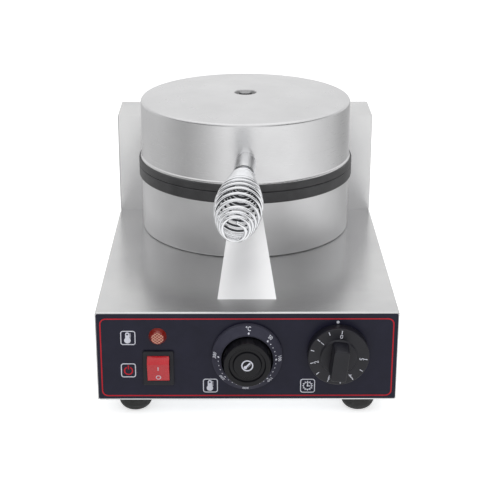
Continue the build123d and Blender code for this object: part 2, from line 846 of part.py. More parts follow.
def duct_form(inset):
    """The duct's wedge, or its hollow when inset by the sheet."""
    reach = y_pan - shell_radius - y_front - duct_setback
    run_on = sheet * 4
    taper = (duct_foot_half - duct_top_half) / reach
    roof = duct_height / reach
    drop = inset * sqrt(1 + roof * roof)
    far = reach + run_on
    with BuildPart() as made:
        with BuildSketch(Plane.XY.offset(z_deck)):
            with BuildLine():
                Polyline(
                    (-duct_foot_half + inset, y_front + duct_setback),
                    (duct_foot_half - inset, y_front + duct_setback),
                    (duct_foot_half - inset - taper * far, y_front + duct_setback + far),
                    (-duct_foot_half + inset + taper * far, y_front + duct_setback + far),
                    close=True,
                )
            make_face()
        extrude(amount=duct_height * 2)
        with BuildSketch(side_section):
            with BuildLine():
                Polyline(
                    (y_front + duct_setback + drop / roof, z_deck),
                    (y_front + duct_setback + far, z_deck),
                    (y_front + duct_setback + far, z_deck + roof * far - drop),
                    close=True,
                )
            make_face()
        extrude(amount=duct_foot_half, both=True, mode=Mode.INTERSECT)
    return made.part


# Duct: a folded cover whose rear edge follows the pan
duct_outside = duct_form(0)
duct_inside = duct_form(sheet)
with BuildPart() as sensor_duct:
    add(duct_outside)
    add(duct_inside, mode=Mode.SUBTRACT)
    with BuildSketch(pan_plane(z_deck)):
        Circle(shell_radius + seat_gap)
    extrude(amount=duct_height * 2, mode=Mode.SUBTRACT)
sensor_duct.part.label = "sensor_duct"
export_step(sensor_duct.part, "parts/sensor_duct.step")

# Towers: folded boxes, open at the back, each closed by its own cover
tower_crest_y = y_tower + tower_top_depth
z_tower = z_deck + tower_height
z_shoulder = z_deck + tower_shoulder_height
slant = atan2(tower_height - tower_shoulder_height, y_rear - tower_crest_y)
tower_outline = [
    (y_tower, z_deck),
    (y_rear, z_deck),
    (y_rear, z_shoulder),
    (tower_crest_y, z_tower),
    (y_tower, z_tower),
]
cover_inner = [
    (y_rear - sheet, z_deck + sheet),
    (y_rear - sheet, z_shoulder - sheet * tan((pi / 2 - slant) / 2)),
    (tower_crest_y - sheet * tan(slant / 2), z_tower - sheet),
]
cover_outline = [
    (y_rear, z_deck + sheet),
    (y_rear, z_shoulder),
    (tower_crest_y, z_tower),
    (tower_crest_y - sheet * tan(slant / 2), z_tower - sheet),
    (y_rear - sheet, z_shoulder - sheet * tan((pi / 2 - slant) / 2)),
    (y_rear - sheet, z_deck + sheet),
]
tower_hollow = [
    (y_tower + sheet, z_deck + sheet),
    *cover_inner,
    (y_tower + sheet, z_tower - sheet),
]
shaft_section = Plane(origin=(0, y_hinge, z_hinge), x_dir=(0, 1, 0), z_dir=(1, 0, 0))
for name, side in (("left", -1), ("right", 1)):
    outer_x = side * base_width / 2
    inner_x = side * (base_width / 2 - tower_width)
    outer_wall = Plane(origin=(min(outer_x, inner_x), 0, 0), x_dir=(0, 1, 0), z_dir=(1, 0, 0))
    with BuildPart() as tower:
        with BuildSketch(outer_wall):
            with BuildLine():
                Polyline(*tower_outline, close=True)
            make_face()
        extrude(amount=tower_width)
        fillet(tower.edges().filter_by(Axis.Z).group_by(Axis.Y)[0], tower_bend)
        with BuildSketch(outer_wall):
            with BuildLine():
                Polyline(*cover_outline, close=True)
            make_face()
        extrude(amount=tower_width, mode=Mode.SUBTRACT)
        with BuildSketch(outer_wall.offset(sheet)):
            with BuildLine():
                Polyline(*tower_hollow, close=True)
            make_face()
        extrude(amount=tower_width - 2 * sheet, mode=Mode.SUBTRACT)
        with BuildSketch(shaft_section.offset(inner_x - side * sheet)):
            Circle(bush_radius)
        extrude(amount=3 * sheet * side, mode=Mode.SUBTRACT)
        with BuildSketch(Plane.XY.offset(z_deck)):
            with Locations((side * tower_middle, lead_y)):
                Circle(tower_lead_hole)
            with Locations(*[spot for spot in bearing_screw_spots if spot[0] * side > 0]):
                Circle(small_screw_radius + hole_clearance)
        extrude(amount=2 * sheet, mode=Mode.SUBTRACT)
    tower.part.label = f"tower_{name}"
    export_step(tower.part, f"parts/tower_{name}.step")

    with BuildPart() as cover:
        with BuildSketch(outer_wall):
            with BuildLine():
                Polyline(*cover_outline, close=True)
            make_face()
        extrude(amount=tower_width)
    cover.part.label = f"tower_cover_{name}"
    export_step(cover.part, f"parts/tower_cover_{name}.step")

    # Bearing plate: an angle that stands in the tower and carries the bush
    with BuildPart() as bearing:
        plate_plane = shaft_section.offset(side * bearing_inner)
        with BuildSketch(plate_plane):
            with BuildLine():
                Polyline(
                    (-bearing_plate_depth + arm_eye_radius, z_deck + sheet - z_hinge),
                    (arm_eye_radius, z_deck + sheet - z_hinge),
                    (arm_eye_radius, 0),
                    (0, arm_eye_radius),
                    (-arm_eye_radius, bearing_crest),
                    (-bearing_plate_depth + arm_eye_radius, bearing_crest),
                    close=True,
                )
            make_face()
            Circle(bush_radius, mode=Mode.SUBTRACT)
        extrude(amount=side * bearing_plate_thick)
        with BuildSketch(Plane.XY.offset(z_deck + sheet)):
            foot_mid = side * (bearing_inner + bearing_foot_width / 2)
            with Locations((foot_mid, bearing_middle_y)):
                Rectangle(bearing_foot_width, bearing_plate_depth)
            with Locations(*[spot for spot in bearing_screw_spots if spot[0] * side > 0]):
                Circle(small_screw_radius + hole_clearance, mode=Mode.SUBTRACT)
        extrude(amount=bearing_foot_thick)
    bearing.part.label = f"bearing_plate_{name}"
    export_step(bearing.part, f"parts/bearing_plate_{name}.step")

    # Flanged bush, its flange on the pan's side of the tower
    with BuildPart() as bush:
        with BuildSketch(shaft_section.offset(inner_x)):
            Circle(bush_radius)
            Circle(shaft_radius + running_gap, mode=Mode.SUBTRACT)
        extrude(amount=side * (sheet + bearing_plate_thick + bush_overhang))
        with BuildSketch(shaft_section.offset(inner_x)):
            Circle(bush_flange_radius)
            Circle(shaft_radius + running_gap, mode=Mode.SUBTRACT)
        extrude(amount=-side * bush_flange_thick)
    bush.part.label = f"hinge_bush_{name}"
    export_step(bush.part, f"parts/hinge_bush_{name}.step")

# Hinge shaft: a tube with a stop lever welded on near each end
half_shaft = base_width / 2 - sheet - shaft_end
lever_x = bearing_inner + bearing_plate_thick + bush_overhang + 2 * seat_gap
with BuildPart() as hinge_shaft:
    with BuildSketch(shaft_section):
        Circle(shaft_radius)
    extrude(amount=half_shaft, both=True)
    for side in (-1, 1):
        with BuildSketch(shaft_section.offset(side * lever_x)):
            Circle(shaft_radius + lever_width / 4)
            with Locations((0, -lever_length / 2)):
                Rectangle(lever_width, lever_length)
        extrude(amount=side * lever_thick)
    with BuildSketch(shaft_section):
        Circle(shaft_bore_radius)
    extrude(amount=half_shaft, both=True, mode=Mode.SUBTRACT)
hinge_shaft.part.label = "hinge_shaft"
export_step(hinge_shaft.part, "parts/hinge_shaft.step")

# Stop pins: where each lever's leading edge stands when the lid is fully open
lever_end_angle = radians(270 - lid_travel)
pin_side = lever_width / 2 + stop_pin_radius + stop_gap
pin_y = stop_pin_reach * cos(lever_end_angle) + pin_side * cos(lever_end_angle - pi / 2)
pin_z = stop_pin_reach * sin(lever_end_angle) + pin_side * sin(lever_end_angle - pi / 2)
bearing_outer = bearing_inner + bearing_plate_thick
with BuildPart() as stop_pins:
    for side in (-1, 1):
        with BuildSketch(shaft_section.offset(side * bearing_outer)):
            with Locations((pin_y, pin_z)):
                Circle(stop_pin_radius)
        extrude(amount=side * (lever_x + lever_thick - bearing_outer))
stop_pins.part.label = "stop_pins"
export_step(stop_pins.part, "parts/stop_pins.step")

# Retaining rings outside the levers
with BuildPart() as shaft_rings:
    for side in (-1, 1):
        with BuildSketch(shaft_section.offset(side * (lever_x + lever_thick))):
            Circle(clip_radius)
            Circle(shaft_radius, mode=Mode.SUBTRACT)
        extrude(amount=side * clip_thick)
shaft_rings.part.label = "shaft_rings"
export_step(shaft_rings.part, "parts/shaft_rings.step")

# Screws that hold the bearing plates and towers down to the deck
bearing_screws = Compound(
    label="bearing_screws",
    children=[
        pan_head_screw(
            Plane(origin=(x, y, z_deck - sheet)),
            small_screw_radius,
            bearing_foot_thick + 3 * sheet,
            small_head_radius,
            small_head_height,
        )
        for x, y in bearing_screw_spots
    ],
)
export_step(bearing_screws, "parts/bearing_screws.step")

# Hinge arms: each a pad bent to the lid's wall and a plate with an eye round the shaft
for name, side in (("left", -1), ("right", 1)):
    arm_turn = side * degrees(asin(arm_spacing / (shell_radius + arm_pad_thick)))
    pad_outer = shell_radius + seat_gap + arm_pad_thick
    pad_start = 90 - arm_turn - arm_pad_angle / 2
    wall_y = y_pan - y_hinge + sqrt(pad_outer * pad_outer - (arm_spacing + arm_thick) ** 2)
    with BuildPart() as hinge_arm:
        with BuildSketch(pan_plane(z_arm_pad)):
            with BuildLine():
                outer_arc = CenterArc((0, 0), pad_outer, pad_start, arm_pad_angle)
                inner_arc = CenterArc((0, 0), shell_radius + seat_gap, pad_start, arm_pad_angle)
                Line(outer_arc @ 0, inner_arc @ 0)
                Line(outer_arc @ 1, inner_arc @ 1)
            make_face()
        extrude(amount=arm_pad_height)
        with BuildSketch(shaft_section.offset(side * (arm_spacing - arm_thick / 2))):
            with BuildLine():
                Polyline(
                    (0, -arm_eye_radius),
                    (wall_y, z_arm_pad - z_hinge),
                    (wall_y, z_arm_pad + arm_pad_height - z_hinge),
                    (0, arm_eye_radius),
                    close=True,
                )
            make_face()
            Circle(arm_eye_radius)
            Circle(shaft_radius, mode=Mode.SUBTRACT)
        extrude(amount=side * arm_thick)
        with BuildSketch(pan_plane(z_lid_rim)):
            Circle(shell_radius + seat_gap)
        extrude(amount=arm_pad_rise + arm_pad_height, mode=Mode.SUBTRACT)
        with BuildSketch(pan_plane(z_lid_rim)):
            Circle(shell_radius + lid_bead + seat_gap)
        extrude(amount=lid_bead_height + seat_gap, mode=Mode.SUBTRACT)
        for angle in arm_angles:
            with BuildSketch(wall_plane(angle, z_arm_pad + arm_pad_height / 2, shell_radius)):
                Circle(arm_screw_radius)
            extrude(amount=2 * arm_pad_thick, mode=Mode.SUBTRACT)
    hinge_arm.part.label = f"hinge_arm_{name}"
    export_step(hinge_arm.part, f"parts/hinge_arm_{name}.step")

# Screws that hold the arms' pads to the lid's wall, one group
arm_seats = [
    wall_plane(angle, z_arm_pad + arm_pad_height / 2, shell_radius + seat_gap + arm_pad_thick)
    for angle in arm_angles
]
arm_screws = Compound(
    label="arm_screws",
    children=[
        pan_head_screw(
            Plane(origin=seat.origin, x_dir=seat.x_dir, z_dir=-seat.z_dir),
            arm_screw_radius,
            arm_pad_thick + shell_sheet * 4,
            arm_screw_head,
            small_head_height,
        )
        for seat in arm_seats
    ],
)
export_step(arm_screws, "parts/arm_screws.step")

# Ferrule: a domed collar on the lid's wall, with a spigot that the spring's neck winds round
ferrule_section = Plane(origin=handle.origin, x_dir=handle.x_dir, z_dir=handle.x_dir.cross(handle.z_dir))
handle_axis = Axis(handle.origin, handle.z_dir)
with BuildPart() as handle_ferrule:
    with BuildSketch(ferrule_section):
        with BuildLine():
            Line((0, -ferrule_dome), (ferrule_root_radius, -ferrule_dome))
            Line((ferrule_root_radius, -ferrule_dome), (ferrule_root_radius, 0))
            ThreePointArc(
                (ferrule_root_radius, 0),
                (ferrule_shoulder_radius, ferrule_shoulder),
                (ferrule_radius, ferrule_dome),
            )
            Line((ferrule_radius, ferrule_dome), (ferrule_radius, ferrule_length))
            Line((ferrule_radius, ferrule_length), (spigot_radius, ferrule_length))
            Line((spigot_radius, ferrule_length), (spigot_radius, ferrule_length + spigot_length))
            Line((spigot_radius, ferrule_length + spigot_length), (0, ferrule_length + spigot_length))
            Line((0, ferrule_length + spigot_length), (0, -ferrule_dome))
        make_face()
    revolve(axis=handle_axis)
    with BuildSketch(pan_plane(z_lid_rim)):
        Circle(shell_radius)
    extrude(amount=lid_shell_height, mode=Mode.SUBTRACT)
    with BuildSketch(handle.offset(-ferrule_dome)):
        Circle(handle_bolt_radius)
    extrude(amount=ferrule_dome + handle_bolt_depth, mode=Mode.SUBTRACT)
    chamfer(handle_ferrule.edges().filter_by(GeomType.CIRCLE).sort_by(handle_axis)[-1], spigot_chamfer)
handle_ferrule.part.label = "handle_ferrule"
export_step(handle_ferrule.part, "parts/handle_ferrule.step")

# Bolt from inside the lid into the ferrule
wall_dip = handle_bolt_flats * sin(slope) + 2 * shell_sheet
handle_bolt = bolt(
    handle.offset(-wall_dip),
    handle_bolt_radius,
    wall_dip + handle_bolt_depth,
    handle_bolt_flats,
    handle_bolt_head,
)
handle_bolt.label = "handle_bolt"
export_step(handle_bolt, "parts/handle_bolt.step")


def coil_radius(reach):
    """The spring's centre-line radius at a distance out from the lid's wall."""
    if reach < spring_belly:
        share = (reach - spring_flare) / (spring_belly - spring_flare)
        return spring_neck_radius + (spring_belly_radius - spring_neck_radius) * (1 - cos(pi * share)) / 2
    share = min((reach - spring_belly) / (spring_end - spring_belly), 1)
    narrowing = spring_belly_radius - spring_tip_radius
    return spring_tip_radius + narrowing * cos(pi / 2 * share) ** spring_tip_power


def coil_reach(turn):
    """The distance out from the lid's wall after so many turns; each pitch blends into the next."""
    reach = spring_start + spring_neck_pitch * turn
    for change, gain in (
        (spring_open_turn, spring_belly_pitch - spring_neck_pitch),
        (spring_close_turn, spring_tip_pitch - spring_belly_pitch),
    ):
        past = max(turn - change + 0.5, 0)
        reach += gain * (past * past / 2 if past < 1 else past - 0.5)
    return reach


def coil_point(turn):
    """A point of the spring's centre line after so many turns, in the model's frame."""
    reach = coil_reach(turn)
    angle = radians(spring_lead_in) + 2 * pi * turn
    radius = coil_radius(reach)
    return handle.from_local_coords(Vector(radius * cos(angle), radius * sin(angle), reach))


def coil_way(turn):
    """The spring's direction after so many turns."""
    step = 0.002
    before = max(turn - step, 0)
    after = min(turn + step, spring_turns)
    return (coil_point(after) - coil_point(before)).normalized()


def biarc(start, start_way, end, end_way):
    """Two arcs from start to end that meet tangentially; returns where they meet and the way there."""
    nearly_straight = 1e-9
    span = end - start
    both = start_way + end_way
    square = 2 * (1 - start_way.dot(end_way))
    linear = 2 * span.dot(both)
    length = span.dot(span)
    if square < nearly_straight:
        reach = length / linear
    else:
        reach = (-linear + sqrt(linear * linear + 4 * square * length)) / (2 * square)
    near = start + start_way * reach
    far = end - end_way * reach
    return (near + far) * 0.5, (far - near).normalized()


# Handle spring: one wire, out of the ferrule's shoulder, round its turns and straight at its tip
wire_start = handle.from_local_coords(Vector(wire_root_radius, 0, ferrule_length))
wire_bend = handle.from_local_coords(Vector(wire_root_radius, 0, ferrule_length + wire))
quarters = 4 * spring_turns
coil_stops = [(wire_bend, handle.z_dir)]
coil_stops += [(coil_point(n / 4), coil_way(n / 4)) for n in range(quarters + 1)]
tip, tip_way = coil_stops[-1]
with BuildPart() as handle_spring:
    with BuildLine() as coil:
        Line(wire_start, wire_bend)
        for (near, near_way), (far, far_way) in zip(coil_stops, coil_stops[1:]):
            middle, middle_way = biarc(near, near_way, far, far_way)
            TangentArc(near, middle, tangent=near_way)
            TangentArc(middle, far, tangent=middle_way)
        Line(tip, tip + tip_way * wire)
    with BuildSketch(Plane(origin=wire_start, x_dir=handle.x_dir, z_dir=handle.z_dir)):
        Circle(wire / 2)
    sweep(path=coil.wire())
samples = 48
coil_samples = [coil_point(n / samples) for n in range(samples * spring_turns + 1)]
coil_gap = min(
    (coil_samples[a] - coil_samples[b]).length
    for a in range(len(coil_samples))
    for b in range(a + samples // 2, min(a + 2 * samples, len(coil_samples)))
)
wire_volume = pi * (wire / 2) ** 2 * coil.wire().length
print(f"spring: least gap to itself {coil_gap - wire:.2f} mm")
print(f"spring: volume {handle_spring.part.volume:.0f}, its wire's {wire_volume:.0f} mm3")
handle_spring.part.label = "handle_spring"
export_step(handle_spring.part, "parts/handle_spring.step")

# Fixed scale ring round the thermostat's knob
with BuildPart() as scale_ring:
    with BuildSketch(front.offset(panel_thick)):
        with Locations(thermostat_spot):
            Circle(ring_radius)
    extrude(amount=ring_edge)
    with BuildSketch(front.offset(panel_thick + ring_edge)):
        with Locations(thermostat_spot):
            Circle(ring_radius)
    with BuildSketch(front.offset(panel_thick + ring_depth)):
        with Locations(thermostat_spot):
            Circle(ring_hole_radius + ring_lip)
    loft()
    with BuildSketch(front.offset(panel_thick)):
        with Locations(thermostat_spot):
            Circle(ring_hole_radius)
    extrude(amount=ring_depth, mode=Mode.SUBTRACT)
scale_ring.part.label = "scale_ring"
export_step(scale_ring.part, "parts/scale_ring.step")

# Thermostat knob: tapered, lobed, a raised boss in a groove on its face, hollow behind round a hub
knob_foot = panel_thick + knob_gap
lobe_cut_reach = thermostat_knob_radius + lobe_cut_radius - lobe_cut_depth
with BuildPart() as thermostat_knob:
    with BuildSketch(front.offset(knob_foot)):
        with Locations(thermostat_spot):
            Circle(thermostat_knob_radius)
    with BuildSketch(front.offset(thermostat_reach)):
        with Locations(thermostat_spot):
            Circle(thermostat_front_radius)
    loft()
    fillet(thermostat_knob.faces().sort_by(Axis.Y)[0].edges(), knob_front_edge)
    with BuildSketch(front.offset(panel_thick + ring_depth)):
        with Locations(thermostat_spot):
            with PolarLocations(lobe_cut_reach, knob_lobes, start_angle=180 / knob_lobes):
                Circle(lobe_cut_radius)
    extrude(amount=thermostat_reach, mode=Mode.SUBTRACT)
    with BuildSketch(front.offset(thermostat_reach)):
        with Locations(thermostat_spot):
            Circle(knob_boss_radius + knob_groove_width)
            Circle(knob_boss_radius, mode=Mode.SUBTRACT)
    extrude(amount=-knob_groove_depth, mode=Mode.SUBTRACT, taper=knob_groove_taper)
    with BuildSketch(front.offset(knob_foot)):
        with Locations(thermostat_spot):
            Circle(thermostat_knob_radius - lobe_cut_depth - 1.5 * knob_wall)
            Circle(knob_hub_radius, mode=Mode.SUBTRACT)
    extrude(amount=knob_cavity_depth, mode=Mode.SUBTRACT)
    with BuildSketch(front.offset(knob_foot)):
        with Locations(thermostat_spot):
            Circle(hex_radius(stem_nut_flats) + knob_gap)
    extrude(amount=stem_nut_thick, mode=Mode.SUBTRACT)
    with BuildSketch(front.offset(knob_foot)):
        with Locations(thermostat_spot):
            Circle(spindle_radius)
    extrude(amount=stem_nut_thick + spindle_grip, mode=Mode.SUBTRACT)
thermostat_knob.part.label = "thermostat_knob"
export_step(thermostat_knob.part, "parts/thermostat_knob.step")

# Timer knob: a dial with a low hub and a tall grip bar, hollow behind round a hub
z_timer_face = knob_foot + timer_dial_depth
with BuildPart() as timer_knob:
    with BuildSketch(front.offset(knob_foot)):
        with Locations(timer_spot):
            Circle(timer_dial_radius)
    extrude(amount=timer_dial_depth)
    fillet(timer_knob.faces().sort_by(Axis.Y)[0].edges(), timer_dial_edge)
    with BuildSketch(front.offset(z_timer_face)):
        with Locations(timer_spot):
            Circle(timer_hub_radius)
    extrude(amount=timer_hub_height, taper=timer_hub_taper)
    with BuildSketch(front.offset(z_timer_face)):
        with Locations(timer_spot):
            RectangleRounded(
                timer_grip_width, timer_grip_length, timer_grip_corner, rotation=-timer_rest_turn
            )
    extrude(amount=timer_grip_height, taper=timer_grip_taper)
    fillet(timer_knob.faces().sort_by(Axis.Y)[0].edges(), timer_grip_edge)
    with BuildSketch(front.offset(knob_foot)):
        with Locations(timer_spot):
            Circle(timer_dial_radius - 2 * knob_wall)
            Circle(knob_hub_radius, mode=Mode.SUBTRACT)
    extrude(amount=timer_dial_depth - knob_wall, mode=Mode.SUBTRACT)
    with BuildSketch(front.offset(knob_foot)):
        with Locations(timer_spot):
            Circle(hex_radius(stem_nut_flats) + knob_gap)
    extrude(amount=stem_nut_thick, mode=Mode.SUBTRACT)
    with BuildSketch(front.offset(knob_foot)):
        with Locations(timer_spot):
            Circle(spindle_radius)
    extrude(amount=stem_nut_thick + spindle_grip, mode=Mode.SUBTRACT)
timer_knob.part.label = "timer_knob"
export_step(timer_knob.part, "parts/timer_knob.step")

# Spindles: each turns in its body's stem and grips its knob
spindle_front = knob_foot + stem_nut_thick + spindle_grip
for name, spot in (("thermostat", thermostat_spot), ("timer", timer_spot)):
    with BuildPart() as spindle:
        with BuildSketch(front.offset(-sheet - spindle_depth)):
            with Locations(spot):
                Circle(spindle_radius)
        extrude(amount=sheet + spindle_depth + spindle_front)
    spindle.part.label = f"{name}_spindle"
    export_step(spindle.part, f"parts/{name}_spindle.step")

# Thermostat body, with a threaded stem through the front wall, bored for its spindle
stem_length = sheet + panel_thick + stem_nut_thick
stem_bore_depth = stem_length + spindle_depth + seat_gap
with BuildPart() as thermostat_body:
    with BuildSketch(front.offset(-sheet)):
        with Locations(thermostat_spot):
            RectangleRounded(thermostat_body_width, thermostat_body_height, thermostat_body_corner)
    extrude(amount=-thermostat_body_depth)
    with BuildSketch(front.offset(-sheet)):
        with Locations(thermostat_spot):
            Circle(stem_radius)
    extrude(amount=stem_length)
    with BuildSketch(front.offset(panel_thick + stem_nut_thick)):
        with Locations(thermostat_spot):
            Circle(spindle_radius + running_gap)
    extrude(amount=-stem_bore_depth, mode=Mode.SUBTRACT)
thermostat_body.part.label = "thermostat_body"
export_step(thermostat_body.part, "parts/thermostat_body.step")

# Timer body
with BuildPart() as timer_body:
    with BuildSketch(front.offset(-sheet)):
        with Locations(timer_spot):
            Circle(timer_body_radius)
    extrude(amount=-timer_body_depth)
    fillet(timer_body.faces().sort_by(Axis.Y)[-1].edges(), timer_body_edge)
    with BuildSketch(front.offset(-sheet)):
        with Locations(timer_spot):
            Circle(stem_radius)
    extrude(amount=stem_length)
    with BuildSketch(front.offset(panel_thick + stem_nut_thick)):
        with Locations(timer_spot):
            Circle(spindle_radius + running_gap)
    extrude(amount=-stem_bore_depth, mode=Mode.SUBTRACT)
timer_body.part.label = "timer_body"
export_step(timer_body.part, "parts/timer_body.step")

# Nuts that hold both stems to the panel
with BuildPart() as stem_nuts:
    with BuildSketch(front.offset(panel_thick)):
        with Locations(thermostat_spot, timer_spot):
            RegularPolygon(hex_radius(stem_nut_flats), 6)
            Circle(stem_radius, mode=Mode.SUBTRACT)
    extrude(amount=stem_nut_thick)
stem_nuts.part.label = "stem_nuts"
export_step(stem_nuts.part, "parts/stem_nuts.step")

# Capillary sensor: from the thermostat's back up through the duct to a bulb under the lower plate
sensor_start = Vector(thermostat_x, y_front + sheet + thermostat_body_depth, z_deck - thermostat_drop)
sensor_run = duct_hole_setback - sheet - thermostat_body_depth
wall_y = y_pan - shell_radius
sensor_points = [
    sensor_start,
    sensor_start + Vector(0, sensor_run, 0),
    Vector(thermostat_x, y_front + duct_hole_setback, z_deck + capillary_rise),
    Vector(thermostat_x, wall_y - capillary_bend, z_bulb),
    Vector(thermostat_x, wall_y + plate_side_gap + bulb_setback, z_bulb),
]
with BuildPart() as thermostat_sensor:
    with BuildLine() as capillary:
        FilletPolyline(*sensor_points, radius=[capillary_bend, capillary_bend, capillary_bend])
    with BuildSketch(Plane(origin=sensor_start, x_dir=(1, 0, 0), z_dir=(0, 1, 0))):
        Circle(capillary_radius)
    sweep(path=capillary.wire())
    with BuildSketch(Plane(origin=sensor_points[-1], x_dir=(1, 0, 0), z_dir=(0, 1, 0))):
        Circle(bulb_radius)
    extrude(amount=bulb_length)
    fillet(thermostat_sensor.faces().sort_by(Axis.Y)[-1].edges(), bulb_edge)
thermostat_sensor.part.label = "thermostat_sensor"
export_step(thermostat_sensor.part, "parts/thermostat_sensor.step")

# Rocker switch: the housing with its bezel, hollowed to a drum round the paddle's pivot
pivot = Plane(
    origin=(switch_x, y_front + pivot_depth, z_deck - switch_drop), x_dir=(0, -1, 0), z_dir=(-1, 0, 0)
)
with BuildPart() as switch_housing:
    with BuildSketch(front.offset(panel_thick)):
        with Locations(switch_spot):
            RectangleRounded(bezel_width, bezel_height, bezel_corner)
    extrude(amount=bezel_thick)
    fillet(switch_housing.faces().sort_by(Axis.Y)[0].edges(), bezel_edge)
    with BuildSketch(front.offset(panel_thick)):
        with Locations(switch_spot):
            Rectangle(switch_body_width, switch_body_height)
    extrude(amount=-switch_body_depth - panel_thick)
    with BuildSketch(pivot):
        Circle(paddle_radius + paddle_gap)
    extrude(amount=paddle_width / 2 + paddle_gap, both=True, mode=Mode.SUBTRACT)
    with BuildSketch(pivot):
        Circle(pivot_radius + running_gap)
    extrude(amount=paddle_width / 2 + pivot_length + 2 * running_gap, both=True, mode=Mode.SUBTRACT)
switch_housing.part.label = "switch_housing"
export_step(switch_housing.part, "parts/switch_housing.step")

# Paddle: a round drum cut flat on its face and back, with a pivot stub at each side
top_turn = radians(paddle_rest_top)
low_turn = radians(paddle_rest_bottom)
with BuildPart() as switch_paddle:
    with BuildSketch(pivot):
        with BuildLine():
            top_front = Vector(paddle_radius * cos(top_turn), paddle_radius * sin(top_turn))
            low_front = Vector(paddle_radius * cos(low_turn), paddle_radius * sin(low_turn))
            back_rise = sqrt(paddle_radius**2 - paddle_back**2)
            top_back = Vector(-paddle_back, back_rise)
            low_back = Vector(-paddle_back, -back_rise)
            top_mid_turn = (top_turn + atan2(back_rise, -paddle_back)) / 2
            low_mid_turn = (low_turn + atan2(-back_rise, -paddle_back)) / 2
            Line(low_front, top_front)
            ThreePointArc(
                top_front, (paddle_radius * cos(top_mid_turn), paddle_radius * sin(top_mid_turn)), top_back
            )
            Line(top_back, low_back)
            ThreePointArc(
                low_back, (paddle_radius * cos(low_mid_turn), paddle_radius * sin(low_mid_turn)), low_front
            )
        make_face()
    extrude(amount=paddle_width / 2, both=True)
    with BuildSketch(pivot):
        Circle(pivot_radius)
    extrude(amount=paddle_width / 2 + pivot_length, both=True)
switch_paddle.part.label = "switch_paddle"
export_step(switch_paddle.part, "parts/switch_paddle.step")

# Blade terminals at the back of the switch, the thermostat and the timer
with BuildPart() as blade_terminals:
    with BuildSketch(front.offset(-switch_body_depth)):
        with Locations(switch_spot):
            with GridLocations(blade_pitch_x, blade_pitch_z, 2, 2):
                Rectangle(blade_width, blade_thick)
    extrude(amount=-blade_length)
    with BuildSketch(front.offset(-sheet - thermostat_body_depth)):
        with Locations(thermostat_spot):
            with GridLocations(2 * blade_pitch_x, 2 * blade_pitch_z, 2, 2):
                Rectangle(blade_width, blade_thick)
    extrude(amount=-blade_length)
    with BuildSketch(front.offset(-sheet - timer_body_depth)):
        with Locations(timer_spot):
            with GridLocations(2 * blade_pitch_x, 2 * blade_pitch_z, 2, 1):
                Rectangle(blade_width, blade_thick)
    extrude(amount=-blade_length)
blade_terminals.part.label = "blade_terminals"
export_step(blade_terminals.part, "parts/blade_terminals.step")

# Indicator lamp: lens in front, holder behind the wall
with BuildPart() as lamp_lens:
    with BuildSketch(front.offset(panel_thick)):
        with Locations(lamp_spot):
            Circle(lens_radius)
    with BuildSketch(front.offset(panel_thick + lens_depth)):
        with Locations(lamp_spot):
            Circle(lens_face_radius)
    loft()
    fillet(lamp_lens.faces().sort_by(Axis.Y)[0].edges(), lens_edge)
    with BuildSketch(front.offset(panel_thick)):
        with Locations(lamp_spot):
            Circle(lens_stem_radius)
    extrude(amount=-lens_stem_length)
lamp_lens.part.label = "lamp_lens"
export_step(lamp_lens.part, "parts/lamp_lens.step")
with BuildPart() as lamp_holder:
    with BuildSketch(front.offset(-sheet)):
        with Locations(lamp_spot):
            Circle(lamp_holder_radius)
    extrude(amount=-lamp_holder_depth)
    with BuildSketch(front.offset(-sheet)):
        with Locations(lamp_spot):
            Circle(lens_stem_radius + running_gap)
    extrude(amount=-lens_stem_length, mode=Mode.SUBTRACT)
lamp_holder.part.label = "lamp_holder"
export_step(lamp_holder.part, "parts/lamp_holder.step")

# Cord gland on the back wall, with a bore for the mains cord, and its nut inside
gland = Plane(origin=(gland_x, y_rear, z_base + gland_height), x_dir=(-1, 0, 0), z_dir=(0, 1, 0))
with BuildPart() as cord_gland:
    with BuildSketch(gland):
        RegularPolygon(hex_radius(gland_flats), 6)
    extrude(amount=gland_hex_thick)
    with BuildSketch(gland.offset(gland_hex_thick)):
        Circle(gland_dome_radius)
    extrude(amount=gland_reach - gland_hex_thick)
    fillet(cord_gland.faces().sort_by(Axis.Y)[-1].edges(), gland_dome_edge)
    with BuildSketch(gland):
        Circle(gland_stem_radius)
    extrude(amount=-sheet - gland_stem_length)
    with BuildSketch(gland.offset(gland_reach)):
        Circle(gland_bore_radius)
    extrude(amount=-(gland_reach + sheet + gland_stem_length), mode=Mode.SUBTRACT)
cord_gland.part.label = "cord_gland"
export_step(cord_gland.part, "parts/cord_gland.step")
with BuildPart() as gland_locknut:
    with BuildSketch(gland.offset(-sheet)):
        RegularPolygon(hex_radius(locknut_flats), 6)
        Circle(gland_stem_radius, mode=Mode.SUBTRACT)
    extrude(amount=-locknut_thick)
gland_locknut.part.label = "gland_locknut"
export_step(gland_locknut.part, "parts/gland_locknut.step")

# Terminal block on the bottom plate, one pair of screw wells a pole
terminal_floor = Plane(origin=(terminal_x, y_terminal, z_base))
pole_pitch = terminal_width / terminal_poles
with BuildPart() as terminal_block:
    with BuildSketch(terminal_floor):
        Rectangle(terminal_width, terminal_depth)
    extrude(amount=terminal_height)
    with Locations(terminal_floor.offset(terminal_height)):
        with GridLocations(pole_pitch, terminal_depth / 2, terminal_poles, 2):
            Hole(pole_pitch / 4, terminal_height / 2)
terminal_block.part.label = "terminal_block"
export_step(terminal_block.part, "parts/terminal_block.step")

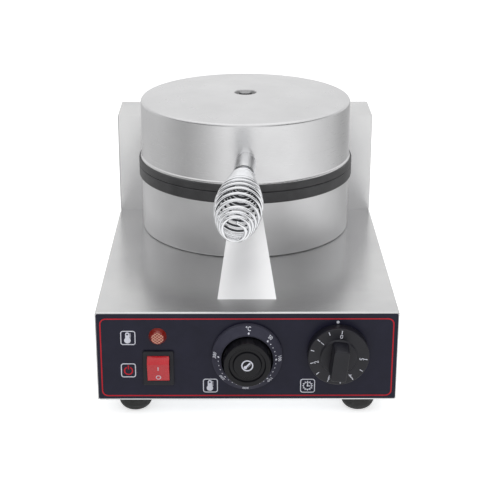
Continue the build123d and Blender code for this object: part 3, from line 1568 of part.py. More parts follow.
# Earth stud through the back wall, its head outside and a nut inside
earth = Plane(origin=(earth_x, y_rear, z_base + gland_height), x_dir=(1, 0, 0), z_dir=(0, -1, 0))
earth_stud = pan_head_screw(
    earth, earth_stud_radius, earth_stud_length, earth_nut_flats / 2, small_head_height
)
earth_stud.label = "earth_stud"
export_step(earth_stud, "parts/earth_stud.step")
with BuildPart() as earth_nut:
    with BuildSketch(earth.offset(sheet)):
        RegularPolygon(hex_radius(earth_nut_flats), 6)
        Circle(earth_stud_radius, mode=Mode.SUBTRACT)
    extrude(amount=earth_nut_thick)
earth_nut.part.label = "earth_nut"
export_step(earth_nut.part, "parts/earth_nut.step")
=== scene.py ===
import json
from math import cos, pi, radians, sin, sqrt

import bmesh
import bpy
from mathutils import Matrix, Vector


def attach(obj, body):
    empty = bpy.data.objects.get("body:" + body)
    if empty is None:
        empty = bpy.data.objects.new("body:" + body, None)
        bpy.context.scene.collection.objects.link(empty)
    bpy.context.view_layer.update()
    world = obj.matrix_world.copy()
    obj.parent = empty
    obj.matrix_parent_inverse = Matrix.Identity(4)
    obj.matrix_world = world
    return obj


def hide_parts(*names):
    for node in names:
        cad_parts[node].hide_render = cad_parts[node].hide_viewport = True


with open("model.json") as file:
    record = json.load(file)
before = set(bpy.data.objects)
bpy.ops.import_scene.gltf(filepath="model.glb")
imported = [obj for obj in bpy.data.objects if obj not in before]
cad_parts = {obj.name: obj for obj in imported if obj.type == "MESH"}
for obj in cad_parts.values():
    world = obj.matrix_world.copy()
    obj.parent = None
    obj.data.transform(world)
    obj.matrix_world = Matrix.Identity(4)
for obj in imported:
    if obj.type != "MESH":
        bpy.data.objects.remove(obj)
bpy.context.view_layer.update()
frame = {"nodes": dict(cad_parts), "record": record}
nodes = frame["nodes"]

MM = 0.001

# Places in the model's frame, in millimetres
FRONT_Y = -181.75
REAR_Y = 192.25
DECK_Z = 106.5
PAN_Y = 58.25
PANEL_THICK = 0.8
THERMOSTAT = (0.0, 65.1)
TIMER = (81.0, 68.5)
SWITCH = (-79.4, 53.3)
LAMP = (-79.6, 83.9)

# How far the faces that carry print stand out from the front wall
TIMER_FACE = 12.0
KNOB_FACE = 22.0
LENS_FACE = PANEL_THICK + 4.6

# Print: its thickness, its gap to the face it lies on, and the step between its layers
PRINT_THICK = 0.05
PRINT_GAP = 0.01
PRINT_STEP = 0.02
PRINT_LAYERS = 4


def linear(grey):
    """An 8-bit grey or colour channel as a linear value."""
    value = grey / 255
    return value / 12.92 if value <= 0.04045 else ((value + 0.055) / 1.055) ** 2.4


def rgb(red, green, blue):
    return (linear(red), linear(green), linear(blue), 1.0)


# Materials


def new_material(name):
    """A node material with its tree emptied down to a shader and the output."""
    material = bpy.data.materials.new(name)
    material.use_nodes = True
    tree = material.node_tree
    tree.nodes.clear()
    output = tree.nodes.new("ShaderNodeOutputMaterial")
    shader = tree.nodes.new("ShaderNodeBsdfPrincipled")
    tree.links.new(shader.outputs["BSDF"], output.inputs["Surface"])
    return material, tree, shader


def mapped_noise(tree, scale, stretch, detail=4.0, roughness=0.55):
    """Noise in the object's own frame, in metres, stretched along an axis."""
    place = tree.nodes.new("ShaderNodeTexCoord")
    mapping = tree.nodes.new("ShaderNodeMapping")
    mapping.inputs["Scale"].default_value = stretch
    noise = tree.nodes.new("ShaderNodeTexNoise")
    noise.inputs["Scale"].default_value = scale
    noise.inputs["Detail"].default_value = detail
    noise.inputs["Roughness"].default_value = roughness
    tree.links.new(place.outputs["Object"], mapping.inputs["Vector"])
    tree.links.new(mapping.outputs["Vector"], noise.inputs["Vector"])
    return noise


def ramp(tree, source, low, high):
    """The middle of the source's factor spread between two greys or colours."""
    node = tree.nodes.new("ShaderNodeValToRGB")
    node.color_ramp.elements[0].position = 0.3
    node.color_ramp.elements[1].position = 0.7
    node.color_ramp.elements[0].color = low
    node.color_ramp.elements[1].color = high
    tree.links.new(source, node.inputs["Fac"])
    return node


def grey(value):
    return (value, value, value, 1.0)


def add_bump(tree, shader, source, strength, distance):
    bump = tree.nodes.new("ShaderNodeBump")
    bump.inputs["Strength"].default_value = strength
    bump.inputs["Distance"].default_value = distance
    tree.links.new(source, bump.inputs["Height"])
    tree.links.new(bump.outputs["Normal"], shader.inputs["Normal"])


# Ways that a metal is brushed, as the stretch of its noise
EVENLY, LENGTHWISE, ROUND = (1, 1, 1), (40, 1, 40), (1, 1, 60)


def metal(name, low, high, rough, scale, bump, brush=EVENLY):
    """Metal with cloudy colour, brushed roughness and fine brush marks."""
    material, tree, shader = new_material(name)
    shader.inputs["Metallic"].default_value = 1.0
    cloud = mapped_noise(tree, 14.0, (1, 1, 1), 3.0)
    colour = ramp(tree, cloud.outputs["Fac"], rgb(*low), rgb(*high))
    tree.links.new(colour.outputs["Color"], shader.inputs["Base Color"])
    brushed = mapped_noise(tree, scale, brush, 3.0, 0.6)
    uneven = ramp(tree, brushed.outputs["Fac"], grey(rough[0]), grey(rough[1]))
    tree.links.new(uneven.outputs["Color"], shader.inputs["Roughness"])
    add_bump(tree, shader, brushed.outputs["Fac"], bump, 0.0002)
    return material


def plastic(name, low, high, rough, grain, bump, shine=0.5, coat=0.0):
    """Moulded plastic with a fine grain and slightly uneven colour."""
    material, tree, shader = new_material(name)
    shader.inputs["Specular IOR Level"].default_value = shine
    cloud = mapped_noise(tree, 60.0, (1, 1, 1), 4.0)
    colour = ramp(tree, cloud.outputs["Fac"], rgb(*low), rgb(*high))
    tree.links.new(colour.outputs["Color"], shader.inputs["Base Color"])
    fine = mapped_noise(tree, grain, (1, 1, 1), 2.0)
    uneven = ramp(tree, fine.outputs["Fac"], grey(rough[0]), grey(rough[1]))
    tree.links.new(uneven.outputs["Color"], shader.inputs["Roughness"])
    if coat:
        shader.inputs["Coat Weight"].default_value = coat
        shader.inputs["Coat Roughness"].default_value = 0.08
    add_bump(tree, shader, fine.outputs["Fac"], bump, 0.0001)
    return material


STEEL = metal("steel_sheet", (202, 202, 203), (214, 214, 214), (0.25, 0.27), 60.0, 0.002, LENGTHWISE)
PAN_STEEL = metal("steel_spun", (206, 206, 207), (218, 218, 219), (0.43, 0.47), 40.0, 0.006, ROUND)
# The lid's steel gets painted shade in the dimple round its bolt, further down
LID_STEEL = metal("steel_spun_lid", (204, 204, 205), (216, 216, 217), (0.27, 0.31), 40.0, 0.006, ROUND)
PLATED = metal("steel_plated", (176, 180, 184), (200, 203, 206), (0.28, 0.44), 500.0, 0.05)
BRIGHT = metal("steel_bright", (205, 205, 208), (222, 222, 224), (0.14, 0.24), 400.0, 0.03)
CHROME = metal("chrome_wire", (222, 223, 226), (233, 234, 236), (0.04, 0.09), 300.0, 0.02)
SHEATH = metal("heater_sheath", (92, 84, 78), (128, 118, 108), (0.35, 0.55), 300.0, 0.08)
BRASS = metal("brass_plain", (196, 160, 92), (216, 182, 112), (0.22, 0.36), 500.0, 0.04)
BRONZE = metal("bronze_sintered", (150, 112, 66), (178, 136, 84), (0.36, 0.55), 1800.0, 0.12)
COPPER = metal("copper_drawn", (184, 112, 82), (206, 136, 104), (0.24, 0.38), 500.0, 0.04)
# A lighter copy of the chrome: painted light that makes the ferrule read brighter
LIT_FERRULE_CHROME = metal("chrome_ferrule_painted_light", (246, 247, 249), (250, 251, 252), (0.28, 0.34), 300.0, 0.02)
# A darker copy of the chrome: painted shade on the inner side of the coil's turns
PAINTED_SHADE_CHROME = metal("chrome_painted_shade", (66, 67, 70), (84, 85, 88), (0.12, 0.22), 300.0, 0.02)
# A lighter copy of the sheet steel: painted light that makes the duct read brighter
LIT_DUCT_STEEL = metal("steel_duct_painted_light", (234, 234, 235), (242, 242, 243), (0.38, 0.44), 60.0, 0.006, LENGTHWISE)
# A darker copy of the plated steel: painted shade on the bolt sunk in its dimple
PAINTED_SHADE_BOLT = metal("steel_bolt_painted_shade", (120, 120, 122), (148, 148, 150), (0.22, 0.34), 500.0, 0.04)
IRON = plastic("iron_coated", (42, 42, 44), (58, 58, 60), (0.38, 0.52), 1400.0, 0.3)
PANEL = plastic("panel_film", (25, 25, 42), (31, 31, 49), (0.30, 0.40), 3000.0, 0.08, shine=0.2)
BLACK = plastic("plastic_black", (18, 18, 25), (26, 26, 34), (0.34, 0.46), 2400.0, 0.14, shine=0.35)
RED = plastic("plastic_red", (188, 14, 30), (202, 20, 36), (0.22, 0.32), 2600.0, 0.05, coat=0.2)
WHITE_PLASTIC = plastic("plastic_white", (206, 205, 198), (220, 219, 212), (0.42, 0.56), 2000.0, 0.1)
RUBBER = plastic("rubber_black", (34, 34, 34), (48, 48, 48), (0.62, 0.80), 900.0, 0.35)
PRINT_WHITE = plastic("print_white", (214, 216, 228), (226, 228, 238), (0.40, 0.52), 3000.0, 0.04)
PRINT_RED = plastic("print_red", (192, 22, 38), (204, 28, 44), (0.40, 0.52), 3000.0, 0.04, shine=0.2)
LENS = plastic("lens_red", (120, 24, 14), (140, 32, 20), (0.14, 0.22), 800.0, 0.05, coat=0.5)
LENS_GRID = plastic("lens_grid", (214, 150, 122), (226, 166, 138), (0.22, 0.32), 2000.0, 0.05)
RING_BLACK = plastic("plastic_ring", (58, 58, 70), (68, 68, 80), (0.40, 0.50), 2400.0, 0.10, shine=0.03)
KNOB_BLACK = plastic("plastic_knob", (9, 9, 13), (15, 15, 20), (0.30, 0.42), 2400.0, 0.14, shine=0.25)
BEZEL_BLACK = plastic("plastic_bezel", (16, 16, 24), (23, 23, 32), (0.34, 0.46), 2400.0, 0.10, shine=0.3)


def darken_near(material, x, y, radius, share):
    """Paints shade into a metal's colour inside a radius about an upright axis, as the shade in a pressed
    dimple.
    """
    tree = material.node_tree
    shader = next(node for node in tree.nodes if node.type == "BSDF_PRINCIPLED")
    colour = shader.inputs["Base Color"].links[0].from_socket
    place = tree.nodes.new("ShaderNodeTexCoord")
    apart = tree.nodes.new("ShaderNodeVectorMath")
    apart.operation = "MULTIPLY_ADD"
    apart.inputs[1].default_value = (1, 1, 0)
    apart.inputs[2].default_value = (-x, -y, 0)
    length = tree.nodes.new("ShaderNodeVectorMath")
    length.operation = "LENGTH"
    edge = tree.nodes.new("ShaderNodeMapRange")
    edge.inputs["From Min"].default_value = radius * 0.94
    edge.inputs["From Max"].default_value = radius
    edge.inputs["To Min"].default_value = share
    edge.inputs["To Max"].default_value = 1.0
    # Painted shade: the colour is scaled down inside the radius
    painted_shade = tree.nodes.new("ShaderNodeVectorMath")
    painted_shade.operation = "SCALE"
    tree.links.new(place.outputs["Object"], apart.inputs[0])
    tree.links.new(apart.outputs["Vector"], length.inputs[0])
    tree.links.new(length.outputs["Value"], edge.inputs["Value"])
    tree.links.new(colour, painted_shade.inputs[0])
    tree.links.new(edge.outputs["Result"], painted_shade.inputs["Scale"])
    tree.links.new(painted_shade.outputs["Vector"], shader.inputs["Base Color"])


# Painted shade in the pressed dimple round the lid's bolt
darken_near(LID_STEEL, 0.0, PAN_Y * MM, 0.0115, 0.42)

BY_SLOT = {
    "steel_satin": STEEL,
    "steel_bright": BRIGHT,
    "steel_plated": PLATED,
    "chrome": CHROME,
    "iron_coated": IRON,
    "heater_sheath": SHEATH,
    "panel_dark": PANEL,
    "plastic_black": BLACK,
    "plastic_red": RED,
    "plastic_red_clear": LENS,
    "plastic_white": WHITE_PLASTIC,
    "rubber_black": RUBBER,
    "brass": BRASS,
    "bronze": BRONZE,
    "copper": COPPER,
}
SPECIAL = {
    "upper_pan_shell": LID_STEEL,
    "lower_pan_shell": PAN_STEEL,
    "sensor_duct": LIT_DUCT_STEEL,
    "handle_ferrule": LIT_FERRULE_CHROME,
    "lid_bolt": PAINTED_SHADE_BOLT,
    "scale_ring": RING_BLACK,
    "thermostat_knob": KNOB_BLACK,
    "switch_housing": BEZEL_BLACK,
}


def dress(obj, material):
    """Gives the whole object one material."""
    obj.data.materials.clear()
    obj.data.materials.append(material)


slot_of = {entry["node"]: entry["material_slot"] for entry in frame["record"]["subparts"]}
for name, node in nodes.items():
    dress(node, SPECIAL.get(name, BY_SLOT[slot_of[name]]))


# Flat drawing


class Print:
    """Faces of thin print, collected in millimetres, that a place function lays on a surface."""

    def __init__(self):
        self.points = []
        self.faces = []
        self.shapes = 0

    def add(self, points, faces):
        """Adds a shape, lifted a hair off the one before so that two that cross never share a face."""
        first = len(self.points)
        lift = PRINT_STEP * (self.shapes % PRINT_LAYERS)
        self.shapes += 1
        self.points += [(x, y, lift) for x, y in points]
        self.faces += [tuple(first + index for index in face) for face in faces]

    def strip(self, line, width, closed=False):
        """A line of this width along points, mitred at each."""
        count = len(line)
        points = []
        for n, (x, y) in enumerate(line):
            before = line[n - 1] if n or closed else line[n]
            after = line[(n + 1) % count] if n < count - 1 or closed else line[n]
            way = Vector((after[0] - before[0], after[1] - before[1])).normalized()
            near = Vector((x - before[0], y - before[1]))
            corner = 1.0
            if near.length > 1e-6 and (n < count - 1 or closed):
                corner = max(near.normalized().dot(way), 0.4)
            side = Vector((-way.y, way.x)) * (width / 2 / corner)
            points += [(x + side.x, y + side.y), (x - side.x, y - side.y)]
        last = count if closed else count - 1
        faces = [
            (2 * n, 2 * n + 1, (2 * n + 3) % (2 * count), (2 * n + 2) % (2 * count)) for n in range(last)
        ]
        self.add(points, faces)

    def disc(self, x, y, radius, sides=24):
        turns = [2 * pi * n / sides for n in range(sides)]
        self.add([(x + radius * cos(t), y + radius * sin(t)) for t in turns], [tuple(range(sides))])

    def ring(self, x, y, radius, width, sides=48):
        turns = [2 * pi * n / sides for n in range(sides)]
        self.strip([(x + radius * cos(t), y + radius * sin(t)) for t in turns], width, True)

    def arc(self, x, y, radius, width, start, end, sides=40):
        turns = [radians(start + (end - start) * n / sides) for n in range(sides + 1)]
        self.strip([(x + radius * cos(t), y + radius * sin(t)) for t in turns], width)

    def frame(self, x, y, width, height, corner, line):
        """A rounded rectangle drawn with a line."""
        points = []
        for cx, cy, start in ((1, 1, 0), (-1, 1, 90), (-1, -1, 180), (1, -1, 270)):
            for n in range(7):
                turn = radians(start + 15 * n)
                points.append(
                    (
                        x + cx * (width / 2 - corner) + corner * cos(turn),
                        y + cy * (height / 2 - corner) + corner * sin(turn),
                    )
                )
        self.strip(points, line, True)

    def text(self, words, size, turn, radius, bold):
        """Letters with their middle on a circle, at a clockwise turn from its top."""
        curve = bpy.data.curves.new("letters", "FONT")
        curve.body = words
        curve.size = size
        curve.align_x = "CENTER"
        curve.align_y = "CENTER"
        curve.offset = bold
        curve.resolution_u = 5
        holder = bpy.data.objects.new("letters", curve)
        bpy.context.scene.collection.objects.link(holder)
        bpy.context.view_layer.update()
        mesh = bpy.data.meshes.new_from_object(holder.evaluated_get(bpy.context.evaluated_depsgraph_get()))
        points = []
        for vertex in mesh.vertices:
            angle = radians(turn) + vertex.co.x / radius
            out = radius + vertex.co.y
            points.append((out * sin(angle), out * cos(angle)))
        self.add(points, [tuple(face.vertices) for face in mesh.polygons])
        bpy.data.objects.remove(holder)
        bpy.data.curves.remove(curve)
        bpy.data.meshes.remove(mesh)

    def make(self, name, place, material, body):
        """Turns the print into a thin raised piece that rides on a body."""
        mesh = bpy.data.meshes.new(name)
        mesh.from_pydata([place(*point) for point in self.points], [], self.faces)
        made = bmesh.new()
        made.from_mesh(mesh)
        bmesh.ops.remove_doubles(made, verts=made.verts, dist=0.00001)
        bmesh.ops.recalc_face_normals(made, faces=made.faces)
        outward = place(0, 0, 1) - place(0, 0)
        for face in made.faces:
            if face.normal.dot(outward) < 0:
                face.normal_flip()
        made.to_mesh(mesh)
        made.free()
        obj = bpy.data.objects.new(name, mesh)
        bpy.context.scene.collection.objects.link(obj)
        mesh.materials.append(material)
        solid = obj.modifiers.new("thick", "SOLIDIFY")
        solid.thickness = PRINT_THICK * MM
        solid.offset = 1
        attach(obj, body)


def on_front(x0, z0, out):
    """A place function for a flat surface that faces the front, out from the housing by out mm."""

    def place(x, y, raised=0.0):
        return Vector(((x0 + x) * MM, (FRONT_Y - out - PRINT_GAP - raised) * MM, (z0 + y) * MM))

    return place


def polar(turn, radius):
    """A point at a clockwise turn from the top."""
    return (radius * sin(radians(turn)), radius * cos(radians(turn)))


def thermometer(drawing, x, y):
    """A thermometer with its bulb below and graduations at the right."""
    drawing.disc(x - 0.5, y - 2.4, 2.9, 32)
    drawing.strip([(x - 0.5, y - 1.5), (x - 0.5, y + 3.6)], 3.8)
    drawing.disc(x - 0.5, y + 3.6, 1.9, 28)
    for step in range(4):
        drawing.strip([(x + 1.3, y + 0.1 + 1.25 * step), (x + 2.6, y + 0.1 + 1.25 * step)], 0.55)


def clock(drawing, x, y):
    """A clock's face with twelve marks and two hands."""
    drawing.ring(x, y, 3.6, 0.6)
    for hour in range(12):
        inner, outer = polar(hour * 30, 3.9), polar(hour * 30, 4.8)
        drawing.strip([(x + inner[0], y + inner[1]), (x + outer[0], y + outer[1])], 0.8)
    drawing.strip([(x, y - 0.3), (x, y + 3.0)], 0.9)
    drawing.strip([(x - 0.3, y - 0.2), (x + 2.6, y - 0.2)], 0.9)
    drawing.disc(x, y - 0.1, 0.8)


# Print on the control panel, whose zero is the middle of the deck's front edge
LAMP_ICON = (-106.0, -24.1)
POWER_ICON = (-106.4, -56.0)
HEAT_ICON = (-33.0, -71.3)
CLOCK_ICON = (54.6, -71.6)
RED_PEN = 1.05
panel_place = on_front(0, DECK_Z, PANEL_THICK)
white = Print()
for x, y in (LAMP_ICON, POWER_ICON, HEAT_ICON, CLOCK_ICON):
    white.frame(x, y, 12.6, 12.9, 2.0, 0.8)
thermometer(white, *LAMP_ICON)
thermometer(white, *HEAT_ICON)
clock(white, *CLOCK_ICON)
white.disc(80.5, -9.0, 1.35, 28)
white.make("panel_print_white", panel_place, PRINT_WHITE, "base")

red = Print()
red.frame(-0.2, -43.55, 260.5, 75.4, 5.0, RED_PEN)
x, y = POWER_ICON
red.arc(x, y - 0.4, 3.6, RED_PEN, 115, 425)
red.strip([(x, y + 1.0), (x, y + 5.0)], RED_PEN)
red.make("panel_print_red", panel_place, PRINT_RED, "base")

# The thermometers' dark spots lie over every layer of their white
dark = Print()
for x, y in (LAMP_ICON, HEAT_ICON):
    dark.disc(x - 0.6, y + 3.4, 0.85, 20)
over_white = PRINT_THICK + PRINT_STEP * (PRINT_LAYERS - 1)
dark.make("panel_print_dark", on_front(0, DECK_Z, PANEL_THICK + over_white), PANEL, "base")

# Scale on the thermostat's fixed ring, which is a cone
RING_OUTER, RING_INNER, RING_EDGE, RING_DEPTH = 31.5, 24.4, 4.5, 10.5


def ring_place(x, y, raised=0.0):
    """Lays print on the ring's cone, with twice the gap because its faces are flat."""
    radius = sqrt(x * x + y * y)
    rise = RING_EDGE + (RING_OUTER - radius) / (RING_OUTER - RING_INNER) * (RING_DEPTH - RING_EDGE)
    out = PANEL_THICK + min(rise, RING_DEPTH) + 2 * PRINT_GAP + raised
    return Vector(((THERMOSTAT[0] + x) * MM, (FRONT_Y - out) * MM, (THERMOSTAT[1] + y) * MM))


# The radius of its dots, and the clockwise turns of 50, 100 ... 300 degrees
DOTS = 25.7
FIFTIES = (45.0, 89.2, 135.3, 182.6, 229.9, 276.6)
scale = Print()
scale.text("°C", 4.3, 2, 28.9, 0.05)
for n, turn in enumerate(FIFTIES):
    scale.disc(*polar(turn, DOTS), 0.8, 18)
    scale.text(str(50 * (n + 1)), 3.9, turn, 29.0, 0.05)
    if n + 1 < len(FIFTIES):
        apart = FIFTIES[n + 1] - turn
        for part in range(1, 5):
            scale.disc(*polar(turn + apart * part / 5, DOTS), 0.46, 14)
scale.disc(*polar(2.8, DOTS), 0.8, 18)
scale.make("thermostat_scale", ring_place, PRINT_WHITE, "base")

# Mark on the thermostat's knob: a thermometer in a ring
mark = Print()
mark.ring(0, 0, 4.75, 1.1)
mark.disc(-1.7, -1.7, 1.55, 24)
mark.strip([(-1.6, -1.6), (2.2, 2.2)], 1.5)
mark.disc(2.2, 2.2, 0.75, 18)
for part in range(3):
    across = -0.1 + 0.95 * part
    mark.strip([(across + 0.5, across - 0.5), (across + 1.2, across - 1.2)], 0.4)
knob_place = on_front(*THERMOSTAT, KNOB_FACE)
mark.make("thermostat_mark", knob_place, PRINT_WHITE, "thermostat_dial")

# Numbers and ticks on the timer's dial
MINUTES = ((5.9, 19.8), (-47.8, 19.6), (-103.4, 20.0), (-158.3, 20.8), (-211.0, 20.8), (-264.8, 20.2))
HALVES = (-20.9, -74.5, -130.6, -184.4, -237.3)
TICK_INNER, TICK_OUTER, TICK_PEN = 22.6, 25.8, 0.75
dial = Print()
for minute, (turn, radius) in enumerate(MINUTES):
    dial.strip([polar(turn, TICK_INNER), polar(turn, TICK_OUTER)], TICK_PEN)
    dial.text(str(minute), 5.4, turn, radius, 0.03)
for turn in HALVES:
    dial.strip([polar(turn, TICK_INNER), polar(turn, TICK_OUTER)], TICK_PEN)
dial.make("timer_numbers", on_front(*TIMER, TIMER_FACE), PRINT_WHITE, "timer_dial")

# ON and OFF marks on the rocker's slanting face
PIVOT_Y, PADDLE_R = FRONT_Y + 3.5, 13.6
PADDLE_TOP, PADDLE_LOW = radians(27.5), radians(-59.5)
face_top, face_low = (
    Vector((0, PIVOT_Y - PADDLE_R * cos(turn), SWITCH[1] + PADDLE_R * sin(turn)))
    for turn in (PADDLE_TOP, PADDLE_LOW)
)
face_up = (face_top - face_low).normalized()
face_out = Vector((0, -face_up.z, face_up.y))
face_middle = (face_top + face_low) / 2


def paddle_place(x, y, raised=0.0):
    spot = face_middle + Vector((SWITCH[0] + x, 0, 0)) + face_up * y + face_out * (PRINT_GAP + raised)
    return spot * MM


marks = Print()
marks.strip([(0, 2.6), (0, 6.6)], 0.75)
marks.ring(0, -5.6, 2.0, 0.65)
marks.make("rocker_marks", paddle_place, PRINT_WHITE, "rocker")

# Pale hatching on the lamp's lens, clipped to its round face
HATCH_RADIUS, HATCH_STEP, HATCH_SLANT = 5.2, 2.1, radians(38)
hatch = Print()
for n in range(-2, 3):
    off = n * HATCH_STEP
    half = sqrt(HATCH_RADIUS * HATCH_RADIUS - off * off)
    for slant in (HATCH_SLANT, -HATCH_SLANT):
        along, across = Vector((cos(slant), sin(slant))), Vector((-sin(slant), cos(slant)))
        ends = (across * off - along * half, across * off + along * half)
        hatch.strip([tuple(end) for end in ends], 0.42)
hatch.make("lamp_hatching", on_front(*LAMP, LENS_FACE), LENS_GRID, "base")

# Earth mark beside the stud on the back wall
EARTH = (-32.0, 53.0)
EARTH_PEN = 0.5


def back_place(x, y, raised=0.0):
    return Vector(((EARTH[0] - x) * MM, (REAR_Y + PRINT_GAP + raised) * MM, (EARTH[1] + y) * MM))


earth = Print()
earth.ring(0, 0, 4.6, EARTH_PEN)
earth.strip([(0, 3.2), (0, 0.2)], EARTH_PEN)
for width, y in ((5.6, 0.0), (3.8, -1.1), (2.0, -2.2)):
    earth.strip([(-width / 2, y), (width / 2, y)], EARTH_PEN)
earth.make("earth_mark", back_place, BLACK, "base")


# Handle: one wire wound round its turns, in the same frame as the solid spring, in millimetres
SLOPE, TOE = radians(9.4), radians(4.5)
handle_out = Vector((-sin(TOE) * cos(SLOPE), -cos(TOE) * cos(SLOPE), -sin(SLOPE)))
handle_x = Vector((cos(TOE), -sin(TOE), 0))
handle_y = handle_out.cross(handle_x)
handle_root = Vector((0, -48.55, 207.3))
# Radii of the coil, where it leaves the ferrule and at its neck, belly and tip
ROOT, NECK, BELLY, TIP = 9.3, 9.8, 20.75, 8.35
TIP_ROUNDING = 0.64
# Distances from the root, at which the ferrule ends, the coil starts, flares, is widest and ends
FERRULE, START, FLARE, MIDDLE, END = 33.0, 42.0, 28.0, 97.1, 139.8
# The pitch at the neck, and the turns at which it grows and shrinks again
TURNS, PITCH, PITCH_CHANGES = 15, 4.58, ((5.64, 4.54), (12.18, -4.7))
WIRE_RADIUS, WIRE_SIDES, TURN_STEPS = 1.5, 16, 64
# The wire leaves the ferrule straight, then eases into the first turn
STRAIGHT = (-0.2, 1.0, 2.2, 3.2)
LEAD_STEPS, LEAD_ANGLE = 12, radians(60)
# Beyond this reach the coil's inner side has no painted shade
PAINTED_SHADE_REACH = 112


def coil_radius(reach):
    if reach < MIDDLE:
        return NECK + (BELLY - NECK) * (1 - cos(pi * (reach - FLARE) / (MIDDLE - FLARE))) / 2
    share = min((reach - MIDDLE) / (END - MIDDLE), 1)
    return TIP + (BELLY - TIP) * cos(pi / 2 * share) ** TIP_ROUNDING


def coil_reach(turn):
    """Close turns at the neck, wide ones in the belly, close ones again at the tip."""
    reach = START + PITCH * turn
    for change, gain in PITCH_CHANGES:
        past = max(turn - change + 0.5, 0)
        reach += gain * (past * past / 2 if past < 1 else past - 0.5)
    return reach


def handle_point(radius, angle, reach):
    spoke = handle_x * (radius * cos(angle)) + handle_y * (radius * sin(angle))
    return handle_root + spoke + handle_out * reach


def wire_line():
    """Points of the wire's centre line."""
    line = [handle_point(ROOT, 0, FERRULE + ahead) for ahead in STRAIGHT]
    lead = START - FERRULE - STRAIGHT[-1]
    for n in range(1, LEAD_STEPS):
        share = n / LEAD_STEPS
        wide = ROOT + (coil_radius(START) - ROOT) * share * share
        line.append(handle_point(wide, LEAD_ANGLE * share * share, START - lead * (1 - share) ** 2))
    for n in range(TURNS * TURN_STEPS + 1):
        reach = coil_reach(n / TURN_STEPS)
        line.append(handle_point(coil_radius(reach), LEAD_ANGLE + 2 * pi * n / TURN_STEPS, reach))
    way = (line[-1] - line[-2]).normalized()
    line += [line[-1] + way * 1.4, line[-1] + way * 2.8]
    return line


def tube(name, line, radius, sides, material):
    """A round tube along points in millimetres, its ends closed with a small bevel."""
    made = bmesh.new()
    last = len(line) - 1
    ways = [(line[min(n + 1, last)] - line[max(n - 1, 0)]).normalized() for n in range(last + 1)]
    side = ways[0].orthogonal().normalized()
    turns = [2 * pi * k / sides for k in range(sides)]
    stations = [(0, radius * 0.75, -0.25)] + [(n, radius, 0) for n in range(last + 1)]
    stations += [(last, radius * 0.82, 0.22), (last, radius * 0.5, 0.34)]
    rings = []
    for n, wide, ahead in stations:
        way = ways[n]
        side = (side - way * side.dot(way)).normalized()
        up = way.cross(side)
        middle = line[n] + way * ahead
        points = [middle + side * (wide * cos(turn)) + up * (wide * sin(turn)) for turn in turns]
        rings.append([made.verts.new(point * MM) for point in points])
    for a, b in zip(rings, rings[1:]):
        for k in range(sides):
            made.faces.new((a[k], a[(k + 1) % sides], b[(k + 1) % sides], b[k]))
    made.faces.new(list(reversed(rings[0])))
    made.faces.new(rings[-1])
    bmesh.ops.recalc_face_normals(made, faces=made.faces)
    mesh = bpy.data.meshes.new(name)
    made.to_mesh(mesh)
    made.free()
    for face in mesh.polygons:
        face.use_smooth = True
    mesh.materials.append(material)
    obj = bpy.data.objects.new(name, mesh)
    bpy.context.scene.collection.objects.link(obj)
    return obj


handle_wire = tube("handle_wire", wire_line(), WIRE_RADIUS, WIRE_SIDES, CHROME)
# The inner side of the turns gets painted shade, a darker chrome, except near the tip
handle_wire.data.materials.append(PAINTED_SHADE_CHROME)
for face in handle_wire.data.polygons:
    spoke = face.center / MM - handle_root
    reach = spoke.dot(handle_out)
    spoke -= handle_out * reach
    if reach < PAINTED_SHADE_REACH and face.normal.dot(spoke.normalized()) < -0.1:
        face.material_index = 1
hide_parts("handle_spring")
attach(handle_wire, "lid")


# Camera, floor and light. From here on lengths are in metres
AIM = Vector((0, 0, 0.1))


def area_light(name, place, side, watts):
    """A square soft box at place, turned to the part, that metal doesn't mirror."""
    data = bpy.data.lights.new(name, "AREA")
    data.shape = "RECTANGLE"
    data.size = side
    data.size_y = side
    data.energy = watts
    light = bpy.data.objects.new(name, data)
    light.location = place
    light.rotation_euler = (AIM - Vector(place)).to_track_quat("-Z", "Y").to_euler()
    light.visible_glossy = False
    bpy.context.scene.collection.objects.link(light)


def light_path(tree, kinds):
    """One factor that is 1 for any of these kinds of ray."""
    path = tree.nodes.new("ShaderNodeLightPath")
    factor = path.outputs[kinds[0]]
    for kind in kinds[1:]:
        either = tree.nodes.new("ShaderNodeMath")
        either.operation = "MAXIMUM"
        tree.links.new(factor, either.inputs[0])
        tree.links.new(path.outputs[kind], either.inputs[1])
        factor = either.outputs[0]
    return factor


def background(tree, strength):
    node = tree.nodes.new("ShaderNodeBackground")
    node.inputs["Color"].default_value = (1, 1, 1, 1)
    node.inputs["Strength"].default_value = strength
    return node


# The camera fitted to the photo's outlines
camera_data = bpy.data.cameras.new("camera")
camera_data.sensor_width = 36
camera_data.lens = 96.94
camera_data.clip_start = 0.05
camera_data.clip_end = 30
camera = bpy.data.objects.new("camera", camera_data)
camera.location = (-0.010, -1.22945, 0.5644)
camera.rotation_euler = (pi / 2 - 0.35595, 0, -0.0035)
bpy.context.scene.collection.objects.link(camera)
bpy.context.scene.camera = camera

# White where it is seen or mirrored, dimmer as a light
world = bpy.data.worlds.new("studio")
world.use_nodes = True
tree = world.node_tree
tree.nodes.clear()
mix = tree.nodes.new("ShaderNodeMixShader")
seen = light_path(tree, ["Is Camera Ray", "Is Glossy Ray", "Is Transmission Ray"])
tree.links.new(seen, mix.inputs["Fac"])
tree.links.new(background(tree, 0.45).outputs[0], mix.inputs[1])
tree.links.new(background(tree, 1.0).outputs[0], mix.inputs[2])
world_out = tree.nodes.new("ShaderNodeOutputWorld")
tree.links.new(mix.outputs[0], world_out.inputs["Surface"])
bpy.context.scene.world = world
bpy.context.scene.view_settings.view_transform = "Standard"

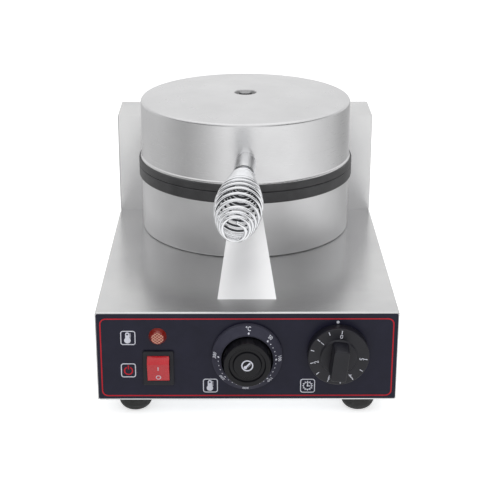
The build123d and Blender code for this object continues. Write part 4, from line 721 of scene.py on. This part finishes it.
# A matt pale floor that glows a little where it is seen or mirrored
floor_mesh = bpy.data.meshes.new("floor")
floor_mesh.from_pydata([(-9, -9, 0), (9, -9, 0), (9, 9, 0), (-9, 9, 0)], [], [(0, 1, 2, 3)])
floor = bpy.data.objects.new("floor", floor_mesh)
bpy.context.scene.collection.objects.link(floor)
floor_material = bpy.data.materials.new("floor_pale")
floor_material.use_nodes = True
tree = floor_material.node_tree
tree.nodes.clear()
matt = tree.nodes.new("ShaderNodeBsdfDiffuse")
matt.inputs["Color"].default_value = (0.88, 0.88, 0.88, 1)
glow = tree.nodes.new("ShaderNodeEmission")
glow.inputs["Color"].default_value = (1, 1, 1, 1)
lift = tree.nodes.new("ShaderNodeMath")
lift.operation = "MULTIPLY"
lift.inputs[1].default_value = 0.62
tree.links.new(light_path(tree, ["Is Camera Ray", "Is Glossy Ray"]), lift.inputs[0])
tree.links.new(lift.outputs[0], glow.inputs["Strength"])
both = tree.nodes.new("ShaderNodeAddShader")
tree.links.new(matt.outputs[0], both.inputs[0])
tree.links.new(glow.outputs[0], both.inputs[1])
floor_out = tree.nodes.new("ShaderNodeOutputMaterial")
tree.links.new(both.outputs[0], floor_out.inputs["Surface"])
floor.data.materials.append(floor_material)

area_light("key", (0.9, -1.3, 1.7), 1.2, 10)
area_light("fill", (-1.2, -1.2, 1.2), 1.2, 5)
area_light("top", (0, 0.1, 1.9), 1.6, 10)

CARD_SIDES = 72


def mirror_card(name, edges, stops):
    """A band about the pan that only reflections see, between two edges of one radius and height each.

    Its grey is set by stops of a bearing, in degrees from the front, and a level.
    """
    points, faces = [], []
    for n in range(CARD_SIDES):
        turn = 2 * pi * n / CARD_SIDES
        points += [(radius * sin(turn), -radius * cos(turn), z) for radius, z in edges]
        after = 2 * (n + 1) % (2 * CARD_SIDES)
        faces.append((2 * n, 2 * n + 1, after + 1, after))
    mesh = bpy.data.meshes.new(name)
    mesh.from_pydata(points, [], faces)
    card = bpy.data.objects.new(name, mesh)
    card.location = (0, PAN_Y * MM, 0)
    bpy.context.scene.collection.objects.link(card)
    material = bpy.data.materials.new(name)
    material.use_nodes = True
    tree = material.node_tree
    tree.nodes.clear()
    place = tree.nodes.new("ShaderNodeTexCoord")
    turn = tree.nodes.new("ShaderNodeMapping")
    turn.inputs["Rotation"].default_value = (0, 0, pi / 2)
    bearing = tree.nodes.new("ShaderNodeTexGradient")
    bearing.gradient_type = "RADIAL"
    shade = tree.nodes.new("ShaderNodeValToRGB")
    while len(shade.color_ramp.elements) < len(stops):
        shade.color_ramp.elements.new(0.5)
    for element, (degrees, level) in zip(shade.color_ramp.elements, stops):
        element.position = (degrees + 180) / 360
        element.color = (level, level, level, 1)
    glow = tree.nodes.new("ShaderNodeEmission")
    out = tree.nodes.new("ShaderNodeOutputMaterial")
    tree.links.new(place.outputs["Object"], turn.inputs["Vector"])
    tree.links.new(turn.outputs["Vector"], bearing.inputs["Vector"])
    tree.links.new(bearing.outputs["Fac"], shade.inputs["Fac"])
    tree.links.new(shade.outputs["Color"], glow.inputs["Color"])
    tree.links.new(glow.outputs[0], out.inputs["Surface"])
    mesh.materials.append(material)
    for kind in ("camera", "diffuse", "transmission", "volume_scatter", "shadow"):
        setattr(card, "visible_" + kind, False)


# What the metal mirrors: a floor, a room and a ceiling whose grey changes with the bearing
mirror_card(
    "reflected_floor",
    ((0.26, 0.001), (4.0, 0.001)),
    (
        (-180, 0.55), (-127, 0.72), (-100, 0.70), (-64, 0.44), (-40, 0.72), (-22, 1.15),
        (45, 1.18), (70, 1.0), (95, 0.78), (124, 0.46), (150, 0.55), (180, 0.55),
    ),
)
mirror_card(
    "reflected_room",
    ((2.0, 0.32), (2.0, 1.25)),
    (
        (-180, 0.95), (-125, 0.9), (-95, 0.55), (-62, 0.03), (-28, 0.03), (-15, 0.9),
        (15, 0.9), (28, 0.03), (62, 0.04), (95, 0.6), (125, 0.9), (180, 0.95),
    ),
)
mirror_card(
    "reflected_upper_room",
    ((2.0, 1.25), (1.7, 3.0)),
    ((-180, 1.0), (-60, 1.1), (0, 1.0), (60, 1.1), (180, 1.0)),
)
mirror_card("reflected_ceiling", ((0.01, 3.0), (1.7, 3.0)), ((-180, 1.25), (180, 1.25)))
